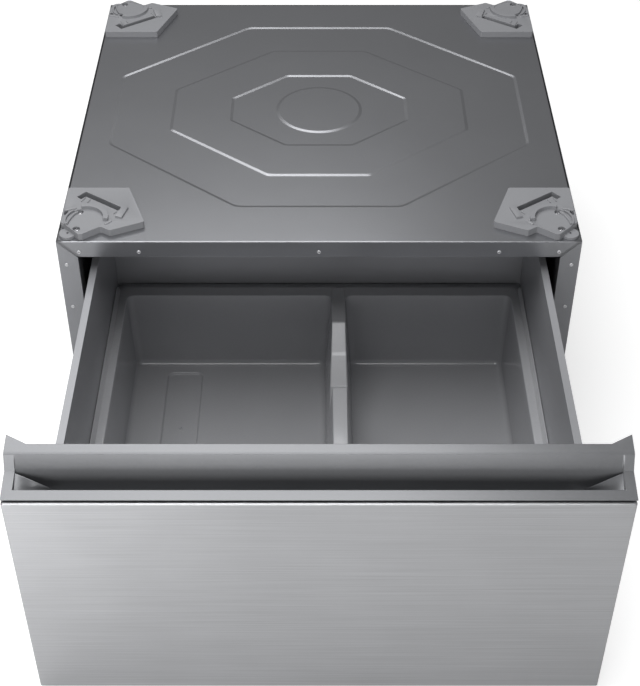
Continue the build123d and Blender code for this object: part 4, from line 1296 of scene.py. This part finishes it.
@dataclass
class FootHolders(SubAssembly):
    """Four moulded corner holders for the feet of the machine on top, with their ridges and screws.

    Places on a holder are setbacks in millimetres from the cabinet's side and from its front or back edge.
    A ridge is the path that it follows, its width and its rise, in millimetres too.
    """

    edge: float = 0.0007
    sink: float = 0.0004
    ridges: tuple[tuple[tuple[tuple[float, float], ...], float, float], ...] = (
        (((24.0, 51.5), (19.0, 46.0), (16.0, 38.5), (13.5, 31.0), (12.4, 24.6)), 2.8, 2.2),
        (((4.5, 55.0), (12.0, 57.5), (20.5, 60.0)), 4.5, 1.8),
        (((25.2, 75.0), (29.7, 84.9)), 1.8, 1.3),
        (((33.5, 72.5), (37.0, 80.0)), 1.8, 1.3),
        (((71.0, 47.0), (75.0, 52.4)), 1.8, 1.3),
        (((75.0, 38.8), (79.2, 48.4)), 1.8, 1.3),
        (((70.5, 32.0), (62.0, 24.0)), 4.5, 1.8),
    )
    plate: float = 0.010
    cup_setback: float = 34.5
    screw_circle: float = 20.5
    screw_angles: tuple[float, float] = (115.0, 245.0)
    screw_radius: float = 0.0036
    screw_height: float = 0.0022
    screw_drop: float = 0.0028
    cross_length: float = 0.0021
    cross_width: float = 0.0006
    cross_depth: float = 0.0012
    cross_side_ease: float = 0.0003
    cross_end_ease: float = 0.0005
    dome_fall: float = 0.6
    dome_power: int = 4
    head_rings: tuple[tuple[float, float, int], ...] = ((0.0, 0.75, 16), (0.8, 1.0, 6))
    head_points: int = 64
    arch_power: int = 6
    arch_points: int = 11
    ridge_points: int = 14
    ridge_end_points: int = 7

    def __post_init__(self) -> None:
        """Take the cabinet's edges from the model's top panel."""
        self.low, self.high = (np.array(corner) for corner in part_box("top_panel"))

    def place(self, corner: Corner, setbacks: np.ndarray) -> np.ndarray:
        """Place on the cabinet's top.

        Args:
            corner: corner of the cabinet.
            setbacks: setbacks from that corner, in millimetres.

        Returns:
            X and Y.
        """
        across, along = setbacks[..., 0] * MM, setbacks[..., 1] * MM
        x = self.low[0] + across if "left" in corner.value else self.high[0] - across
        y = self.low[1] + along if "front" in corner.value else self.high[1] - along
        return np.stack((x, y), axis=-1)

    def ridge(
        self, corner: Corner, path: tuple[tuple[float, float], ...], width: float, height: float,
    ) -> np.ndarray:
        """Moulded ridge: a flat-topped arch carried along a path, round at both ends.

        Across the path the height is rise (1 - s^6) for s from -1 to 1. The width shrinks with the root of
        1 - e^2, where e goes from 0 to 1 over the last half width before each end.

        Args:
            corner: corner of the cabinet.
            path: setbacks of the points that the ridge follows.
            width: width of the ridge in millimetres.
            height: rise in millimetres.

        Returns:
            Sections by points by three, each section a closed loop.
        """
        points = np.array(path)
        steps = np.linalg.norm(np.diff(points, axis=0), axis=1)
        length = np.concatenate(([0.0], np.cumsum(steps)))
        ends = width / 2 * (1 - np.cos(np.linspace(0.0, pi / 2, self.ridge_end_points)))
        straight = np.linspace(width / 2, length[-1] - width / 2, self.ridge_points)[1:-1]
        t = np.concatenate((ends, straight, length[-1] - ends[::-1]))
        line = np.stack([np.interp(t, length, points[:, axis]) for axis in (0, 1)], axis=-1)
        course = np.gradient(line, axis=0)
        normal = np.stack((-course[:, 1], course[:, 0]), axis=-1)
        normal /= np.maximum(np.linalg.norm(normal, axis=1, keepdims=True), TINY)
        near = np.clip(1 - np.minimum(t, length[-1] - t) / (width / 2), 0.0, 1.0)
        half = width / 2 * np.sqrt(1 - near**2)
        s = np.linspace(-1.0, 1.0, self.arch_points)
        rise = np.concatenate((height * (1 - s**self.arch_power), [0.0, 0.0])) * MM
        rise[[0, -3]] = 0.0
        rise[-2:] = -self.sink
        across = np.concatenate((s, [1.0, -1.0]))
        setbacks = line[:, None, :] + normal[:, None, :] * (half[:, None] * across)[..., None]
        flat = self.place(corner, setbacks)
        level = np.broadcast_to(self.high[2] + self.plate + rise, flat.shape[:2])
        return np.concatenate((flat, level[..., None]), axis=-1)

    def screw_heads(self) -> list[np.ndarray]:
        """Crossed screw heads in the cups.

        On a polar grid the height is that of a low dome, less the cross: two bars at right angles whose
        depth eases in at their sides and ends.

        Returns:
            Rings by points by three, for each head.
        """
        share = np.concatenate([np.linspace(*stretch) for stretch in self.head_rings])[:, None]
        turn = turn_angles(self.head_points)
        x = self.screw_radius * share * np.cos(turn)
        y = self.screw_radius * share * np.sin(turn)
        dome = self.screw_height * (1 - self.dome_fall * share**self.dome_power) + np.zeros_like(x)
        narrow = np.minimum(np.abs(x), np.abs(y))
        far = np.maximum(np.abs(x), np.abs(y))
        cross = smooth((self.cross_width - narrow) / self.cross_side_ease)
        cross *= smooth((self.cross_length - far) / self.cross_end_ease)
        top = np.stack((x, y, dome - self.cross_depth * cross), axis=-1)
        skirt = top[-1:].copy()
        skirt[..., 2] = 0.0
        head = np.concatenate((top, skirt))
        seat = self.high[2] + self.plate - self.screw_drop - self.screw_height
        heads = []
        for corner in Corner:
            for angle in self.screw_angles:
                reach = self.screw_circle * np.array([np.cos(radians(angle)), np.sin(radians(angle))])
                middle = self.place(corner, self.cup_setback + reach)
                heads.append(head + np.array([*middle, seat]))
        return heads

    def build(self) -> None:
        """Make the holders, their ridges and their screws."""
        for corner in Corner:
            node = f"foot_holder_{corner.value}"
            self.settle(soft_copy(node, self.edge), "holder_plastic", "cabinet", node)
            ribs = Patchwork()
            for path, width, height in self.ridges:
                ribs.grid(self.ridge(corner, path, width, height), close_columns=True)
            piece = ribs.build(f"holder_ridges_{corner.value}")
            self.settle(piece, "holder_plastic", "cabinet")
        heads = Patchwork()
        for head in self.screw_heads():
            heads.grid(head, close_columns=True)
        screws = heads.build("holder_screw_heads", SHARP)
        self.settle(screws, "zinc_steel", "cabinet", "foot_holder_screws", finish="bright_steel")


@dataclass
class SheetSteel(SubAssembly):
    """Painted sheet pieces that keep the model's shape, with rounded edges."""

    cabinet: tuple[str, ...] = (
        "left_side_panel", "right_side_panel", "back_panel", "front_top_stiffener",
        "front_left_post", "front_right_post", "rear_left_post", "rear_right_post",
    )
    drawer: tuple[str, ...] = ("drawer_left_side", "drawer_right_side", "drawer_back", "drawer_inner_panel")
    sheet_edge: float = 0.0005

    def build(self) -> None:
        """Copy, round and dress each piece."""
        for node in self.cabinet:
            self.settle(soft_copy(node, self.sheet_edge), "grey_paint", "cabinet", node)
        for node in self.drawer:
            piece = soft_copy(node, self.sheet_edge)
            # The drawer's pieces take the lighter copy of the grey paint, whose extra lightness is painted
            # light.
            self.settle(piece, "grey_paint", "drawer", node, finish="drawer_paint_painted_light")


def grey(level: float) -> tuple[float, float, float, float]:
    """Opaque grey of one level."""
    return (level, level, level, 1.0)


@dataclass(frozen=True)
class SoftBox:
    """Rectangular soft light that looks at a point."""

    name: str
    place: tuple[float, float, float]
    aim: tuple[float, float, float]
    size: tuple[float, float]
    watts: float

    def build(self) -> None:
        """Put the light into the scene."""
        data = bpy.data.lights.new(self.name, "AREA")
        data.shape = "RECTANGLE"
        data.size, data.size_y = self.size
        data.energy = self.watts
        lamp = bpy.data.objects.new(self.name, data)
        lamp.location = self.place
        direction = Vector(self.place) - Vector(self.aim)
        lamp.rotation_euler = direction.to_track_quat("Z", "Y").to_euler()
        bpy.context.scene.collection.objects.link(lamp)


@dataclass
class Studio:
    """White studio: floor, soft lights and the camera of the photograph."""

    image: tuple[int, int] = (640, 686)
    focal_pixels: float = 1394.5
    centre_x: float = 319.0
    sensor: float = 36.0
    camera_place: tuple[float, float, float] = (0.0, -1.55185, 1.4618)
    camera_pitch: float = 41.36
    floor_half: float = 8.0
    floor_shade: float = 0.70
    floor_roughness: float = 0.9
    floor_glow: float = 0.6
    world_light: float = 0.18
    white: float = 1.0
    lamps: tuple[SoftBox, ...] = (
        SoftBox("top_box", (-0.35, -0.25, 2.1), (-0.35, -0.2, 0.3), (1.5, 1.9), 33.0),
        SoftBox("back_box", (-0.5, 1.3, 2.3), (0.0, -0.3, 0.3), (1.6, 0.8), 12.0),
        SoftBox("front_box", (-0.3, -2.3, 0.8), (0.0, -0.3, 0.3), (1.8, 0.9), 22.0),
        SoftBox("floor_box", (-0.6, -0.95, 0.3), (-0.6, -0.95, 0.0), (0.4, 0.4), 1.3),
    )

    def camera(self) -> None:
        """Set the camera where the photograph was taken from."""
        data = bpy.data.cameras.new("photo_camera")
        data.sensor_fit = "VERTICAL"
        data.sensor_height = self.sensor
        data.lens = self.focal_pixels / self.image[1] * data.sensor_height
        data.shift_x = (self.image[0] / 2 - self.centre_x) / self.image[1]
        camera = bpy.data.objects.new("photo_camera", data)
        camera.location = self.camera_place
        camera.rotation_euler = (radians(90.0 - self.camera_pitch), 0.0, 0.0)
        bpy.context.scene.collection.objects.link(camera)
        bpy.context.scene.camera = camera

    def floor(self) -> None:
        """Lay the pale floor, which the camera sees as white but for its shadow."""
        half = self.floor_half
        corners = [(-half, -half, 0), (half, -half, 0), (half, half, 0), (-half, half, 0)]
        mesh = bpy.data.meshes.new("studio_floor")
        mesh.from_pydata(corners, [], [(0, 1, 2, 3)])
        floor = bpy.data.objects.new("studio_floor", mesh)
        bpy.context.scene.collection.objects.link(floor)
        graph = Graph("studio_floor")
        sockets = graph.shader.inputs
        sockets["Base Color"].default_value = grey(self.floor_shade)
        sockets["Roughness"].default_value = self.floor_roughness
        path = graph.add("ShaderNodeLightPath")
        graph.feed(sockets["Emission Strength"], path.outputs["Is Camera Ray"])
        sockets["Emission Color"].default_value = grey(self.floor_glow)
        mesh.materials.append(graph.material)

    def world(self) -> None:
        """Even grey light from all round, which the camera sees as white."""
        world = bpy.data.worlds.new("studio_world")
        world.use_nodes = True
        bpy.context.scene.world = world
        tree = world.node_tree
        background = tree.nodes["Background"]
        path = tree.nodes.new("ShaderNodeLightPath")
        spread = tree.nodes.new("ShaderNodeMapRange")
        spread.inputs["To Min"].default_value = self.world_light
        spread.inputs["To Max"].default_value = self.white
        tree.links.new(path.outputs["Is Camera Ray"], spread.inputs["Value"])
        tree.links.new(spread.outputs["Result"], background.inputs["Strength"])
        background.inputs["Color"].default_value = grey(self.white)

    def build(self) -> None:
        """Set up the floor, the light and the camera."""
        self.floor()
        self.world()
        for lamp in self.lamps:
            lamp.build()
        self.camera()
        bpy.context.scene.view_settings.view_transform = "Standard"


def dress_model(palette: Palette) -> None:
    """Give every node of the model the finish of its slot."""
    for part in frame["record"]["subparts"]:
        palette.dress(frame["nodes"][part["node"]], part["material_slot"])


def main() -> None:
    """Build the looks piece by piece."""
    logging.basicConfig(level=logging.INFO, format="%(message)s")
    palette = Palette()
    dress_model(palette)
    for assembly in (TopPanel, StorageBin, HandleTrim, FrontPanel, Rivets, SheetSteel, FootHolders):
        assembly(palette).build()
    Studio().build()


if __name__ == "__main__":
    main()
